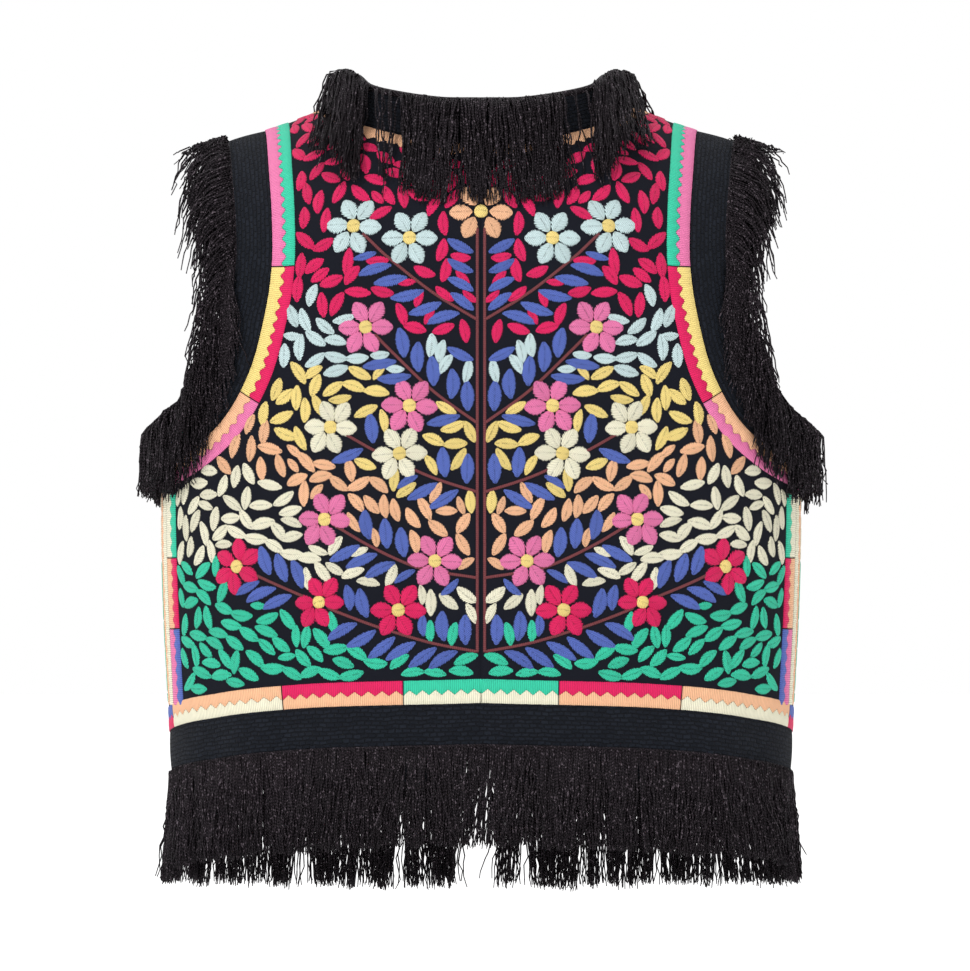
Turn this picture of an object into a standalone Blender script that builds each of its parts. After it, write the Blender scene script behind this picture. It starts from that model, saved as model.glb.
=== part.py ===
"""Embroidered folk vest with navy bands and fringe, in the shape it has when worn.

Metres, +Z up. The wearer faces +Y, so the back faces -Y and the wearer's right side is +X.
The origin lies between the shoulders, at the height of the shoulder line, where the vest is carried.

Every piece lies on one hollow form. A place on it has two coordinates: the angle round the body
(0 at the centre back, 90 at the right side, 180 at the centre front, minus on the left) and the
drop, the way down the cloth from the shoulder line.
"""
import math

import bpy
import numpy as np

# Cloth and seams
CLOTH = 0.0020            # wall of the embroidered cloth
BAND_CLOTH = 0.0022       # wall of the navy bands
SEAM = 0.0003             # gap between two pieces at a seam
HEADER_GAP = 0.00045      # gap between a band's edge and the fringe's header tape

# The form: a dome over the shoulders that runs into the trunk
DOME_HEIGHT = 0.110       # below this height under the shoulder line, the trunk has its full depth
DOME_ARC = 0.160          # way along the cloth from the shoulder line to that height
FLATNESS = 0.25           # how much squarer than an ellipse the trunk's section is

# Height under the shoulder line, half width, depth of the back and of the front from the shoulders
TRUNK_COLUMNS = ("height", "half_width", "back_depth", "front_depth")
TRUNK = (
    (0.00, 0.2120, 0.100, 0.088),
    (0.06, 0.2120, 0.105, 0.098),
    (0.12, 0.2120, 0.110, 0.111),
    (0.18, 0.2125, 0.111, 0.118),
    (0.24, 0.2130, 0.108, 0.117),
    (0.30, 0.2115, 0.104, 0.112),
    (0.36, 0.2085, 0.102, 0.109),
    (0.42, 0.2060, 0.104, 0.109),
    (0.52, 0.2050, 0.106, 0.110),
)

# The shoulder line: distance from the centre, height
SHOULDER_COLUMNS = ("x", "z")
SHOULDER = (
    (0.000, 0.0290),
    (0.060, 0.0235),
    (0.105, 0.0125),
    (0.129, 0.0035),
    (0.146, -0.0020),
    (0.171, -0.0090),
    (0.215, -0.0220),
)

# Soft troughs in the cloth: angle, half width in degrees, depth, height of the top and of the bottom
FOLD_COLUMNS = ("angle", "spread", "depth", "top", "bottom")
FOLDS = (
    (-38.0, 6.0, 0.0045, -0.190, -0.520),
    (-58.0, 5.0, 0.0028, -0.230, -0.520),
    (-14.0, 5.5, 0.0016, -0.260, -0.520),
    (16.0, 5.0, 0.0018, -0.270, -0.520),
    (35.0, 6.0, 0.0042, -0.200, -0.520),
    (60.0, 5.0, 0.0026, -0.240, -0.520),
    (-128.0, 8.0, 0.0040, -0.200, -0.520),
    (-155.0, 6.0, 0.0022, -0.240, -0.520),
    (124.0, 8.0, 0.0042, -0.190, -0.520),
    (151.0, 6.0, 0.0024, -0.230, -0.520),
)

# Outlines of the cut pieces
SIDE_SEAM = 78.0          # angle of the side seams, a little behind the widest point
NECK_HALF_WIDTH = 0.105   # where the neckline meets the shoulder seam
FRONT_EDGE_X = 0.0022     # half of the opening down the centre front
FRONT_FLARE = 0.0075      # how much more it opens at the hem
FLARE_START = -0.300      # height where the fronts begin to part

NECK_COLUMNS = ("x", "z")
NECK_BACK = ((0.0, -0.0140), (0.030, -0.0125), (0.060, -0.0060), (0.085, 0.0025))
NECK_FRONT = ((0.0, -0.0780), (0.030, -0.0710), (0.060, -0.0520), (0.084, -0.0240))

# The seam between a panel and its armhole band, from the shoulder down the back, up the front
ARMHOLE_COLUMNS = ("angle", "z")
SHOULDER_TIP_X = 0.1450
ARMHOLE = (
    (41.4, -0.030),
    (40.4, -0.063),
    (40.3, -0.095),
    (42.2, -0.130),
    (46.2, -0.167),
    (53.0, -0.195),
    (63.0, -0.213),
    (78.0, -0.2235),
    (95.0, -0.2260),
    (110.0, -0.2220),
    (123.0, -0.2080),
    (133.0, -0.1830),
    (139.5, -0.1480),
    (142.6, -0.1100),
    (142.4, -0.0700),
    (139.6, -0.0300),
)

# Height of the panels' lower edge along the hem: it sinks from the centre back to the front
HEM_COLUMNS = ("angle", "z")
HEM = ((0, -0.3800), (39, -0.3850), (62, -0.3925), (78, -0.3985),
       (92, -0.4035), (115, -0.4085), (145, -0.4130), (180, -0.4160))

ARMHOLE_BAND = 0.0270     # width of the navy band round an armhole
HEM_BAND = 0.0260         # height of the navy band along the hem
STAND = 0.0260            # height of the neck stand
STAND_INSET = 0.0008      # how far its foot lies inside the neckline
STAND_LEAN = 0.0040       # how far its top leans in towards the neck, at the centre
STAND_LEAN_AT_SIDE = 0.0110      # and how much more at the shoulder seams
STAND_LOWER_AT_SIDE = 0.28       # share of its height that it loses there

# Fringe: a header tape along the edge, and locks of twisted yarn that hang from it
HEADER = 0.0042           # height of the header tape
SPREAD_UNDERARM = 0.10    # how far the armhole locks swing out for each metre down, at the underarm
SPREAD_SHOULDER = 0.60    # and along the upright part of the armhole
SPREAD_LOW = -0.202       # heights between which one runs into the other
SPREAD_HIGH = -0.172
LOCK_STAND_OFF = 0.36     # how far they lean off the cloth for each metre down
LOCK_SHARE = 0.70         # share of the pitch that a lock takes up at its root
LOCK_UNEVEN = 0.07        # how much the locks' lengths differ, as a share
HANGING_LOCK = ((0.12, 1.0), (0.60, 0.95), (1.0, 0.34))               # share of its length, of its size
TURNED_LOCK = ((0.10, 1.0), (0.36, 1.0), (0.70, 0.90), (1.0, 0.34))   # for locks that lie on the cloth
FRINGE_COLUMNS = ("pitch", "length", "width", "thickness", "clearance", "sections")
FRINGE = {
    "hem": (0.0112, 0.0660, 0.0062, 0.0036, 0.0, HANGING_LOCK),
    "armhole": (0.0132, 0.0500, 0.0046, 0.0034, 0.0038, HANGING_LOCK),
    "neck": (0.0124, 0.0660, 0.0056, 0.0034, 0.0048, TURNED_LOCK),
}

# Rows and columns of the panels' meshes
SIDE_ROWS = 9             # rows from the hem to the underarm
ARMHOLE_ROWS = 10         # rows from the underarm to the shoulder
BACK_NECK_COLUMNS = 6
BACK_SHOULDER_COLUMNS = 4
FRONT_NECK_COLUMNS = 8
FRONT_SHOULDER_COLUMNS = 5
TOP_BOW_START = 0.50      # from this share of the height, rows bend towards the neckline and shoulder

COLOURS = {
    "embroidered_cloth": (0.014, 0.015, 0.024),
    "navy_band_cloth": (0.011, 0.014, 0.021),
    "fringe_yarn": (0.023, 0.018, 0.022),
}


UP = np.array([0.0, 0.0, 1.0])
DOWN = -UP


def smooth(keys, values):
    """A smooth curve through the rows of a table, as a function of its first column."""
    keys = np.asarray(keys, float)
    values = np.asarray(values, float)
    slopes = np.gradient(values, keys)

    def read(at):
        at = np.clip(np.asarray(at, float), keys[0], keys[-1])
        row = np.clip(np.searchsorted(keys, at, side="right") - 1, 0, len(keys) - 2)
        step = keys[row + 1] - keys[row]
        t = (at - keys[row]) / step
        return ((2 * t**3 - 3 * t**2 + 1) * values[row] + (t**3 - 2 * t**2 + t) * step * slopes[row]
                + (3 * t**2 - 2 * t**3) * values[row + 1] + (t**3 - t**2) * step * slopes[row + 1])

    return read


def column(table, columns, name):
    return [row[columns.index(name)] for row in table]


def pairs(table, columns, first, second):
    """Two named columns of a table, row by row."""
    return list(zip(column(table, columns, first), column(table, columns, second)))


def table_curve(table, columns, key, value):
    return smooth(column(table, columns, key), column(table, columns, value))


half_width = table_curve(TRUNK, TRUNK_COLUMNS, "height", "half_width")
back_depth = table_curve(TRUNK, TRUNK_COLUMNS, "height", "back_depth")
front_depth = table_curve(TRUNK, TRUNK_COLUMNS, "height", "front_depth")
shoulder_height = table_curve(SHOULDER, SHOULDER_COLUMNS, "x", "z")
hem_height = table_curve(HEM, HEM_COLUMNS, "angle", "z")


def fold_depth(angle, height):
    """How far the cloth lies in from the smooth form, at an angle in degrees and a height."""
    total = np.zeros(np.broadcast(angle, height).shape)
    for row in FOLDS:
        fold = dict(zip(FOLD_COLUMNS, row))
        away = (angle - fold["angle"]) / fold["spread"]
        along = np.clip((fold["top"] - height) / (fold["top"] - fold["bottom"]), 0.0, 1.0)
        total = total + fold["depth"] * np.exp(-away**2) * np.sin(along * math.pi / 2) ** 1.5
    return total


def form(angle, drop):
    """Points of the form at angles in degrees and drops in metres, with the folds pressed in."""
    angle = np.asarray(angle, float)
    drop = np.asarray(drop, float)
    turn = np.clip(drop / DOME_ARC, 0.0, 1.0) * math.pi / 2
    height = DOME_HEIGHT * (1 - np.cos(turn)) + np.clip(drop - DOME_ARC, 0.0, None)
    round_body = np.radians(angle)
    side = np.sin(round_body)
    towards_back = np.cos(round_body) * (1 + FLATNESS * side**2)
    depth = np.where(towards_back > 0, back_depth(height), front_depth(height)) * np.sin(turn)
    x = half_width(height) * side
    z = shoulder_height(np.abs(x)) - height
    y = -depth * towards_back
    reach = np.hypot(x, y) + 1e-9
    pressed = 1 - fold_depth(angle, z) / np.maximum(reach, 0.05)
    return np.stack([x * pressed, y * pressed, z], axis=-1)


def outward(angle, drop):
    """The form's outward direction at each place."""
    small_angle = 0.05
    small_drop = 0.0001
    drop = np.asarray(drop, float)
    low = np.maximum(drop - small_drop, 0.0)
    round_body = form(np.asarray(angle) + small_angle, drop) - form(np.asarray(angle) - small_angle, drop)
    down = form(angle, low + 2 * small_drop) - form(angle, low)
    normal = np.cross(down, round_body)
    return normal / np.linalg.norm(normal, axis=-1, keepdims=True)


def drop_at(angle, z):
    """The drop at which the form has the height z."""
    angle = np.asarray(angle, float)
    x = np.abs(half_width(-np.asarray(z)) * np.sin(np.radians(angle)))
    height = np.maximum(shoulder_height(x) - z, 0.0)
    turn = np.arccos(np.clip(1 - height / DOME_HEIGHT, 0.0, 1.0))
    return np.where(height < DOME_HEIGHT, turn / (math.pi / 2) * DOME_ARC, DOME_ARC + height - DOME_HEIGHT)


def place_at(x, z, front=False):
    """Angle and drop of the point of the back or front that has this x and z."""
    angle = math.degrees(math.asin(x / float(half_width(max(-z, 0.0)))))
    angle = 180.0 - angle if front else angle
    return (angle, float(drop_at(angle, z)))


def path_through(places, count):
    """Evenly spaced places on a smooth curve through the given ones."""
    places = np.asarray(places, float)
    stations = np.cumsum([0.0] + [
        float(np.linalg.norm(form(*b) - form(*a))) for a, b in zip(places[:-1], places[1:])])
    angle = smooth(stations, places[:, 0])
    drop = smooth(stations, places[:, 1])
    fine = np.linspace(0.0, stations[-1], 400)
    points = form(angle(fine), drop(fine))
    length = np.concatenate([[0.0], np.cumsum(np.linalg.norm(np.diff(points, axis=0), axis=1))])
    at = np.interp(np.linspace(0.0, length[-1], count + 1), length, fine)
    return np.stack([angle(at), drop(at)], axis=-1)


def line(start, end, count):
    return np.linspace(np.asarray(start, float), np.asarray(end, float), count + 1)


# Outline curves of the right half; the left half mirrors them
SEAM_DROP = SEAM * DOME_ARC / (0.100 * math.pi)     # keeps half a seam gap at the shoulder line
HALF_SEAM_ANGLE = math.degrees(SEAM / 2 / 0.115)


def armhole_curve():
    """The armhole seam from the shoulder over the back to the underarm, and up to the shoulder."""
    tip = place_at(SHOULDER_TIP_X, float(shoulder_height(SHOULDER_TIP_X)))
    places = [(tip[0], 0.0)]
    for angle, z in pairs(ARMHOLE, ARMHOLE_COLUMNS, "angle", "z"):
        places.append((angle, float(drop_at(angle, z))))
    places.append((180.0 - tip[0], 0.0))
    under = column(ARMHOLE, ARMHOLE_COLUMNS, "angle").index(SIDE_SEAM) + 1
    back = path_through(places, 200)
    split = int(np.argmin(np.linalg.norm(form(back[:, 0], back[:, 1]) - form(*places[under]), axis=1)))
    down_back = path_through_part(back[: split + 1], ARMHOLE_ROWS)
    up_front = path_through_part(back[split:], ARMHOLE_ROWS)
    down_back[-1, 0] = SIDE_SEAM
    up_front[0] = down_back[-1]
    return down_back, up_front


def path_through_part(fine, count):
    """Evenly spaced places on a finely drawn stretch."""
    points = form(fine[:, 0], fine[:, 1])
    length = np.concatenate([[0.0], np.cumsum(np.linalg.norm(np.diff(points, axis=0), axis=1))])
    at = np.linspace(0.0, length[-1], count + 1)
    return np.stack([np.interp(at, length, fine[:, 0]), np.interp(at, length, fine[:, 1])], axis=-1)


def neck_curve(front):
    """The neckline from the centre to the shoulder line."""
    table = NECK_FRONT if front else NECK_BACK
    start = FRONT_EDGE_X if front else SEAM / 2
    count = FRONT_NECK_COLUMNS if front else BACK_NECK_COLUMNS
    places = [place_at(max(x, start), z, front) for x, z in pairs(table, NECK_COLUMNS, "x", "z")]
    corner = place_at(NECK_HALF_WIDTH, float(shoulder_height(NECK_HALF_WIDTH)), front)
    places.append((corner[0], SEAM_DROP))
    return path_through(places, count)


def front_edge_x(z):
    """Distance of a front's edge from the centre: it opens towards the hem."""
    along = np.clip((FLARE_START - z) / (FLARE_START - HEM[-1][1]), 0.0, 1.6)
    return FRONT_EDGE_X + FRONT_FLARE * along**2


def front_edge_angle(z):
    return 180.0 - np.degrees(np.arcsin(front_edge_x(z) / half_width(np.maximum(-z, 0.0))))


def patch(bottom, right, top, left):
    """A grid of places that fills four edges: bottom and top run across, right and left run up."""
    s = np.linspace(0.0, 1.0, len(bottom))[:, None, None]
    t = np.linspace(0.0, 1.0, len(left))[None, :, None]
    ruled = (1 - s) * left[None] + s * right[None]
    top_bow = top[:, None] - ((1 - s) * top[0] + s * top[-1])
    bottom_bow = bottom[:, None] - ((1 - s) * bottom[0] + s * bottom[-1])
    near_top = np.clip((t - TOP_BOW_START) / (1 - TOP_BOW_START), 0.0, 1.0) ** 1.8
    return ruled + near_top * top_bow + (1 - t) ** 3 * bottom_bow


def back_places(armhole_down):
    """The right half of the back, from the centre back seam to the side seam and armhole."""
    centre_angle = math.degrees(SEAM / 2 / float(half_width(0.2)))
    seam_angle = SIDE_SEAM - HALF_SEAM_ANGLE
    neck = neck_curve(front=False)
    neck[0, 0] = centre_angle
    tip = armhole_down[0].copy()
    tip[1] = SEAM_DROP
    top = np.concatenate([neck, line(neck[-1], tip, BACK_SHOULDER_COLUMNS)[1:]])
    hem_angles = np.linspace(centre_angle, seam_angle, len(top))
    bottom = np.stack([hem_angles, drop_at(hem_angles, hem_height(hem_angles))], axis=-1)
    side = line(bottom[-1], (seam_angle, armhole_down[-1, 1]), SIDE_ROWS)
    right = np.concatenate([side, armhole_down[::-1][1:]])
    right[-1] = tip
    left = line(bottom[0], neck[0], SIDE_ROWS + ARMHOLE_ROWS)
    return patch(bottom, right, top, left)


def front_places(armhole_up):
    """The right front, from its centre edge to the side seam and armhole."""
    seam_angle = SIDE_SEAM + HALF_SEAM_ANGLE
    neck = neck_curve(front=True)
    tip = armhole_up[-1].copy()
    tip[1] = SEAM_DROP
    top = np.concatenate([neck, line(neck[-1], tip, FRONT_SHOULDER_COLUMNS)[1:]])
    low_angle = float(front_edge_angle(HEM[-1][1]))
    hem_angles = np.linspace(low_angle, seam_angle, len(top))
    bottom = np.stack([hem_angles, drop_at(hem_angles, hem_height(hem_angles))], axis=-1)
    side = line(bottom[-1], (seam_angle, armhole_up[0, 1]), SIDE_ROWS)
    right = np.concatenate([side, armhole_up[1:]])
    right[-1] = tip
    heights = np.linspace(HEM[-1][1], NECK_FRONT[0][1], SIDE_ROWS + ARMHOLE_ROWS + 1)
    angles = front_edge_angle(heights)
    left = np.stack([angles, drop_at(angles, heights)], axis=-1)
    left[0] = bottom[0]
    left[-1] = neck[0]
    return patch(bottom, right, top, left)


def wall(outer, inner, closed=False):
    """Vertices and faces of the wall between two equal grids; closed joins the last row to the first."""
    rows, columns = outer.shape[:2]
    points = np.concatenate([outer.reshape(-1, 3), inner.reshape(-1, 3)])
    far = rows * columns

    def at(i, j, layer):
        return (i % rows) * columns + j + layer * far

    faces = []
    row_count = rows if closed else rows - 1
    for i in range(row_count):
        for j in range(columns - 1):
            faces.append((at(i, j, 0), at(i + 1, j, 0), at(i + 1, j + 1, 0), at(i, j + 1, 0)))
            faces.append((at(i, j, 1), at(i, j + 1, 1), at(i + 1, j + 1, 1), at(i + 1, j, 1)))
        for j, turn in ((0, 1), (columns - 1, -1)):
            faces.append((at(i, j, 0), at(i, j, 1), at(i + 1, j, 1), at(i + 1, j, 0))[::turn])
    if not closed:
        for j in range(columns - 1):
            for i, turn in ((0, -1), (rows - 1, 1)):
                faces.append((at(i, j, 0), at(i, j, 1), at(i, j + 1, 1), at(i, j + 1, 0))[::turn])
    return points, faces


def enclosed_volume(points, faces):
    total = 0.0
    for face in faces:
        for k in range(1, len(face) - 1):
            a, b, c = points[face[0]], points[face[k]], points[face[k + 1]]
            total += float(np.dot(a, np.cross(b, c)))
    return total / 6.0


def material(name):
    """One cloth or yarn finish, made once and shared by its pieces."""
    found = bpy.data.materials.get(name)
    if found:
        return found
    made = bpy.data.materials.new(name)
    made.use_nodes = True
    surface = made.node_tree.nodes["Principled BSDF"]
    surface.inputs["Base Color"].default_value = (*COLOURS[name], 1.0)
    surface.inputs["Roughness"].default_value = 0.9
    surface.inputs["Metallic"].default_value = 0.0
    return made


def add_piece(name, points, faces, finish):
    """One closed piece of the vest as an object, its faces pointing out."""
    if enclosed_volume(points, faces) < 0:
        faces = [face[::-1] for face in faces]
    mesh = bpy.data.meshes.new(name)
    mesh.from_pydata([tuple(point) for point in points], [], faces)
    mesh.shade_smooth()
    mesh.set_sharp_from_angle(angle=math.radians(40))
    mesh.materials.append(material(finish))
    piece = bpy.data.objects.new(name, mesh)
    bpy.context.scene.collection.objects.link(piece)
    return piece


def mirrored(places, side):
    places = places.copy()
    places[..., 0] *= side
    return places


def add_panel(name, places):
    outer = form(places[..., 0], places[..., 1])
    inner = outer - CLOTH * outward(places[..., 0], places[..., 1])
    add_piece(name, *wall(outer, inner), "embroidered_cloth")


def sideways(places, closed_ends=False):
    """Unit steps across a route of places, in angle and drop per metre, towards the right-hand side."""
    small_angle = 0.05
    small_drop = 0.0002
    along = np.gradient(places, axis=0)
    angle, drop = places[:, 0], places[:, 1]
    by_angle = (form(angle + small_angle, drop) - form(angle - small_angle, drop)) / (2 * small_angle)
    low = np.maximum(drop - small_drop, 0.0)
    by_drop = (form(angle, low + 2 * small_drop) - form(angle, low)) / (2 * small_drop)
    aa = np.sum(by_angle * by_angle, axis=1)
    ad = np.sum(by_angle * by_drop, axis=1)
    dd = np.sum(by_drop * by_drop, axis=1)
    size = np.sqrt(aa * dd - ad**2)
    lower_a = aa * along[:, 0] + ad * along[:, 1]
    lower_d = ad * along[:, 0] + dd * along[:, 1]
    length = np.sqrt(along[:, 0] * lower_a + along[:, 1] * lower_d)
    across = np.stack([lower_d, -lower_a], axis=-1) / (size * length)[:, None]
    if closed_ends:
        for end in (0, -1):
            across[end] = (math.copysign(1.0 / math.sqrt(aa[end]), across[end, 0]), 0.0)
    return across


def armhole_band_grid(down_back, up_front):
    """The band round an armhole: rows of places from the seam out to the free edge."""
    ring = np.concatenate([down_back, up_front[1:]])
    across = sideways(ring, closed_ends=True)
    if across[0, 0] < 0:
        across = -across
    widths = (SEAM, ARMHOLE_BAND * 0.5, ARMHOLE_BAND)
    return np.stack([ring + width * across for width in widths], axis=1)


def band_walls(places, closed=False):
    outer = form(places[..., 0], places[..., 1])
    inner = outer - BAND_CLOTH * outward(places[..., 0], places[..., 1])
    return (outer[:-1], inner[:-1]) if closed else (outer, inner)


def hem_band_grid(angles):
    """Places of the hem band between the panels' lower edge and the header of the fringe."""
    heights = hem_height(np.abs(angles))
    steps = (SEAM, HEM_BAND)
    return np.stack([np.stack([angles, drop_at(angles, heights - step)], axis=-1) for step in steps], axis=1)


def unit(vectors):
    return vectors / np.linalg.norm(vectors, axis=-1, keepdims=True)


def stand_walls(places):
    """The neck stand rises from the neckline and leans in; rows run from its foot to its top."""
    foot = form(places[:, 0], places[:, 1])
    along = unit(np.gradient(foot, axis=0))
    level = along.copy()
    level[:, 2] = 0.0
    inward = unit(np.cross(UP, unit(level)))
    centre = np.array([0.0, -0.005, 0.0])
    facing = np.sum(inward * (centre - foot), axis=1)
    inward = inward * np.where(facing < 0, -1.0, 1.0)[:, None]
    at_side = (np.abs(foot[:, 0]) / NECK_HALF_WIDTH) ** 2
    top_rise = STAND * (1 - STAND_LOWER_AT_SIDE * at_side)
    top_lean = STAND_LEAN + STAND_LEAN_AT_SIDE * at_side
    rows = []
    for share, bow in ((0.0, 0.0), (0.5, 0.6), (1.0, 1.0)):
        rise = SEAM + (top_rise - SEAM) * share
        lean = STAND_INSET + top_lean * bow
        rows.append(foot + rise[:, None] * UP + lean[:, None] * inward)
    outer = np.stack(rows, axis=1)
    inner = outer + BAND_CLOTH * inward[:, None]
    return outer, inner


def header_corners(edge_outer, edge_inner, away):
    """Corner lines of a header tape that lies beyond an edge, from the cloth's side outwards."""
    near = HEADER_GAP
    far = HEADER_GAP + HEADER
    return np.stack([edge_inner + away * near, edge_outer + away * near,
                     edge_outer + away * far, edge_inner + away * far], axis=1)


def resample(corners, at):
    """Corner lines read at the given distances, each bend of the lines met by the nearest of them."""
    middle = corners.mean(axis=1)
    length = np.concatenate([[0.0], np.cumsum(np.linalg.norm(np.diff(middle, axis=0), axis=1))])
    at = np.array(at)
    for bend in length[1:-1]:
        at[int(np.argmin(np.abs(at - bend)))] = bend
    flat = corners.reshape(len(corners), -1)
    read = np.stack([np.interp(at, length, flat[:, k]) for k in range(flat.shape[1])], axis=-1)
    return read.reshape(len(at), 4, 3)


def edge_length(corners):
    return float(np.linalg.norm(np.diff(corners.mean(axis=1), axis=0), axis=1).sum())


def uneven(index, phase):
    """A fixed, uneven number between -1 and 1 for each lock."""
    return math.sin(index * 2.399 + phase) * 0.6 + math.sin(index * 5.113 + phase * 1.7) * 0.4


def clear_of_body(point, clearance):
    """Moves a point the shorter way, up or level, until it lies clear of the form."""
    x, y, z = (float(value) for value in point)
    line_height = float(shoulder_height(abs(x)))
    height = max(line_height - z, 0.0)
    turn = math.acos(max(1 - height / DOME_HEIGHT, 0.0)) if height < DOME_HEIGHT else math.pi / 2
    width = float(half_width(height))
    side = min(abs(x) / width, 1.0)
    square = 1 + FLATNESS * side**2
    full_depth = float(back_depth(height) if y < 0 else front_depth(height)) * square
    depth = max(full_depth * math.sin(turn), 1e-4)
    reach = math.hypot(x / width, y / depth)
    slope = math.hypot(x / width**2, y / depth**2) / max(reach, 1e-6)
    push_level = clearance - (reach - 1) / slope
    across = abs(y) / (full_depth * math.sqrt(max(1 - side**2, 1e-6)))
    push_up = push_level + clearance
    if across < 1.0:
        push_up = line_height - DOME_HEIGHT * (1 - math.sqrt(1 - across**2)) + clearance - z
    if min(push_level, push_up) > 0.0:
        if push_up < push_level:
            z += push_up
        else:
            grow = push_level / (slope * reach)
            x += x / width**2 * grow
            y += y / depth**2 * grow
    return np.array([x, y, z])


def lock_sections(root, heading, fall, length, size):
    """Corner rings of one lock: it leaves its root along heading, then turns into its fall."""
    point = root.mean(axis=0)
    wide = unit(root[2] - root[1])
    turn = None
    done = 0.0
    rings = []
    for reached, share in size["sections"]:
        direction = unit(heading + fall * 0.5) if turn is None else fall
        point = point + direction * length * (reached - done)
        if size["clearance"] > 0.0:
            point = clear_of_body(point, size["clearance"])
        done = reached
        wide = unit(wide - direction * float(np.dot(wide, direction)))
        deep = np.cross(wide, direction)
        if turn is None:
            turn = math.copysign(1.0, float(np.dot(deep, root[1] - root[0])))
        half_wide = wide * size["width"] * share / 2
        half_deep = deep * turn * size["thickness"] * share / 2
        rings.append((point - half_wide - half_deep, point - half_wide + half_deep,
                      point + half_wide + half_deep, point + half_wide - half_deep))
    return rings


def add_fringe(name, corners, kind, root_side, heading_of, fall_of, closed=False):
    """A header tape with its locks as one closed piece.

    root_side is the header's side that the locks grow from: 1 is the outer face, 2 the far edge.
    """
    size = dict(zip(FRINGE_COLUMNS, FRINGE[kind]))
    run = np.concatenate([corners, corners[:1]]) if closed else corners
    total = edge_length(run)
    count = int(round(total / size["pitch"]))
    starts = (np.arange(count) + (1 - LOCK_SHARE) / 2) * total / count
    ends = starts + LOCK_SHARE * total / count
    at = np.stack([starts, ends], axis=-1).ravel()
    if not closed:
        at = np.concatenate([[0.0], at, [total]])
    tape = resample(run, at)
    stations = len(tape)
    points = [tuple(corner) for station in tape for corner in station]
    faces = []
    first_lock = 0 if closed else 1
    lock_at = {first_lock + 2 * k: k for k in range(count)}
    for i in range(stations if closed else stations - 1):
        j = (i + 1) % stations
        for side in range(4):
            a, b = side, (side + 1) % 4
            if side == root_side and i in lock_at:
                continue
            faces.append((i * 4 + a, i * 4 + b, j * 4 + b, j * 4 + a))
    if not closed:
        faces.append((3, 2, 1, 0))
        last = (stations - 1) * 4
        faces.append((last, last + 1, last + 2, last + 3))
    for i, k in lock_at.items():
        j = (i + 1) % stations
        a, b = root_side, root_side + 1
        ring = [i * 4 + a, i * 4 + b, j * 4 + b, j * 4 + a]
        root = np.array([points[n] for n in ring])
        vary = uneven(k, len(name))
        length = size["length"] * (1 + LOCK_UNEVEN * vary)
        previous = ring
        for section in lock_sections(root, heading_of(root), fall_of(root, vary), length, size):
            base = len(points)
            points.extend(tuple(corner) for corner in section)
            current = [base, base + 1, base + 2, base + 3]
            for n in range(4):
                m = (n + 1) % 4
                faces.append((previous[n], previous[m], current[m], current[n]))
            previous = current
        faces.append(tuple(previous))
    add_piece(name, np.array(points), faces, "fringe_yarn")
    return count


def level_outward(root, x_share):
    """A level direction away from the body's axis; a small x_share points it more to back or front."""
    centre = root.mean(axis=0)
    return unit(np.array([centre[0] * x_share, centre[1], 0.0]))


def hem_heading(root):
    return DOWN


def hem_fall(root, vary):
    return unit(DOWN + level_outward(root, 0.5) * (0.05 + 0.03 * vary))


def neck_heading(root):
    return unit(level_outward(root, 0.4) + 0.3 * UP)


def neck_fall(root, vary):
    """Near the shoulder line the locks lie on the shoulder; further down they hang."""
    x, y = root[:, 0].mean(), root[:, 1].mean()
    lying = 1.3 * math.exp(-(y / 0.045) ** 2)
    steep = 9.0 * abs(x) if y > 0.0 else 0.0
    away = unit(np.array([x * (0.2 + steep), y + math.copysign(0.030, y), 0.0]))
    return unit(DOWN + away * (0.16 + 0.5 * steep + lying + 0.04 * vary))


def outer_face_direction(root):
    """The direction that the root's quad faces, away from the body."""
    normal = unit(np.cross(root[1] - root[0], root[2] - root[1]))
    outward_guess = level_outward(root, 0.5) + 0.4 * UP
    return normal if float(np.dot(normal, outward_guess)) > 0 else -normal


def armhole_heading(root):
    return outer_face_direction(root)


def armhole_fall(root, vary):
    """Locks swing out sideways where the edge runs up, so that they clear the ones below."""
    centre = root.mean(axis=0)
    rise = min(max((centre[2] - SPREAD_LOW) / (SPREAD_HIGH - SPREAD_LOW), 0.0), 1.0)
    spread = SPREAD_UNDERARM + (SPREAD_SHOULDER - SPREAD_UNDERARM) * rise + 0.04 * vary
    sideways_swing = np.array([math.copysign(spread, centre[0]), 0.0, 0.0])
    stand_off = LOCK_STAND_OFF * unit(outer_face_direction(root) * np.array([1.0, 1.0, 0.0]) + 1e-6)
    return unit(DOWN + sideways_swing + stand_off)


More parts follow.
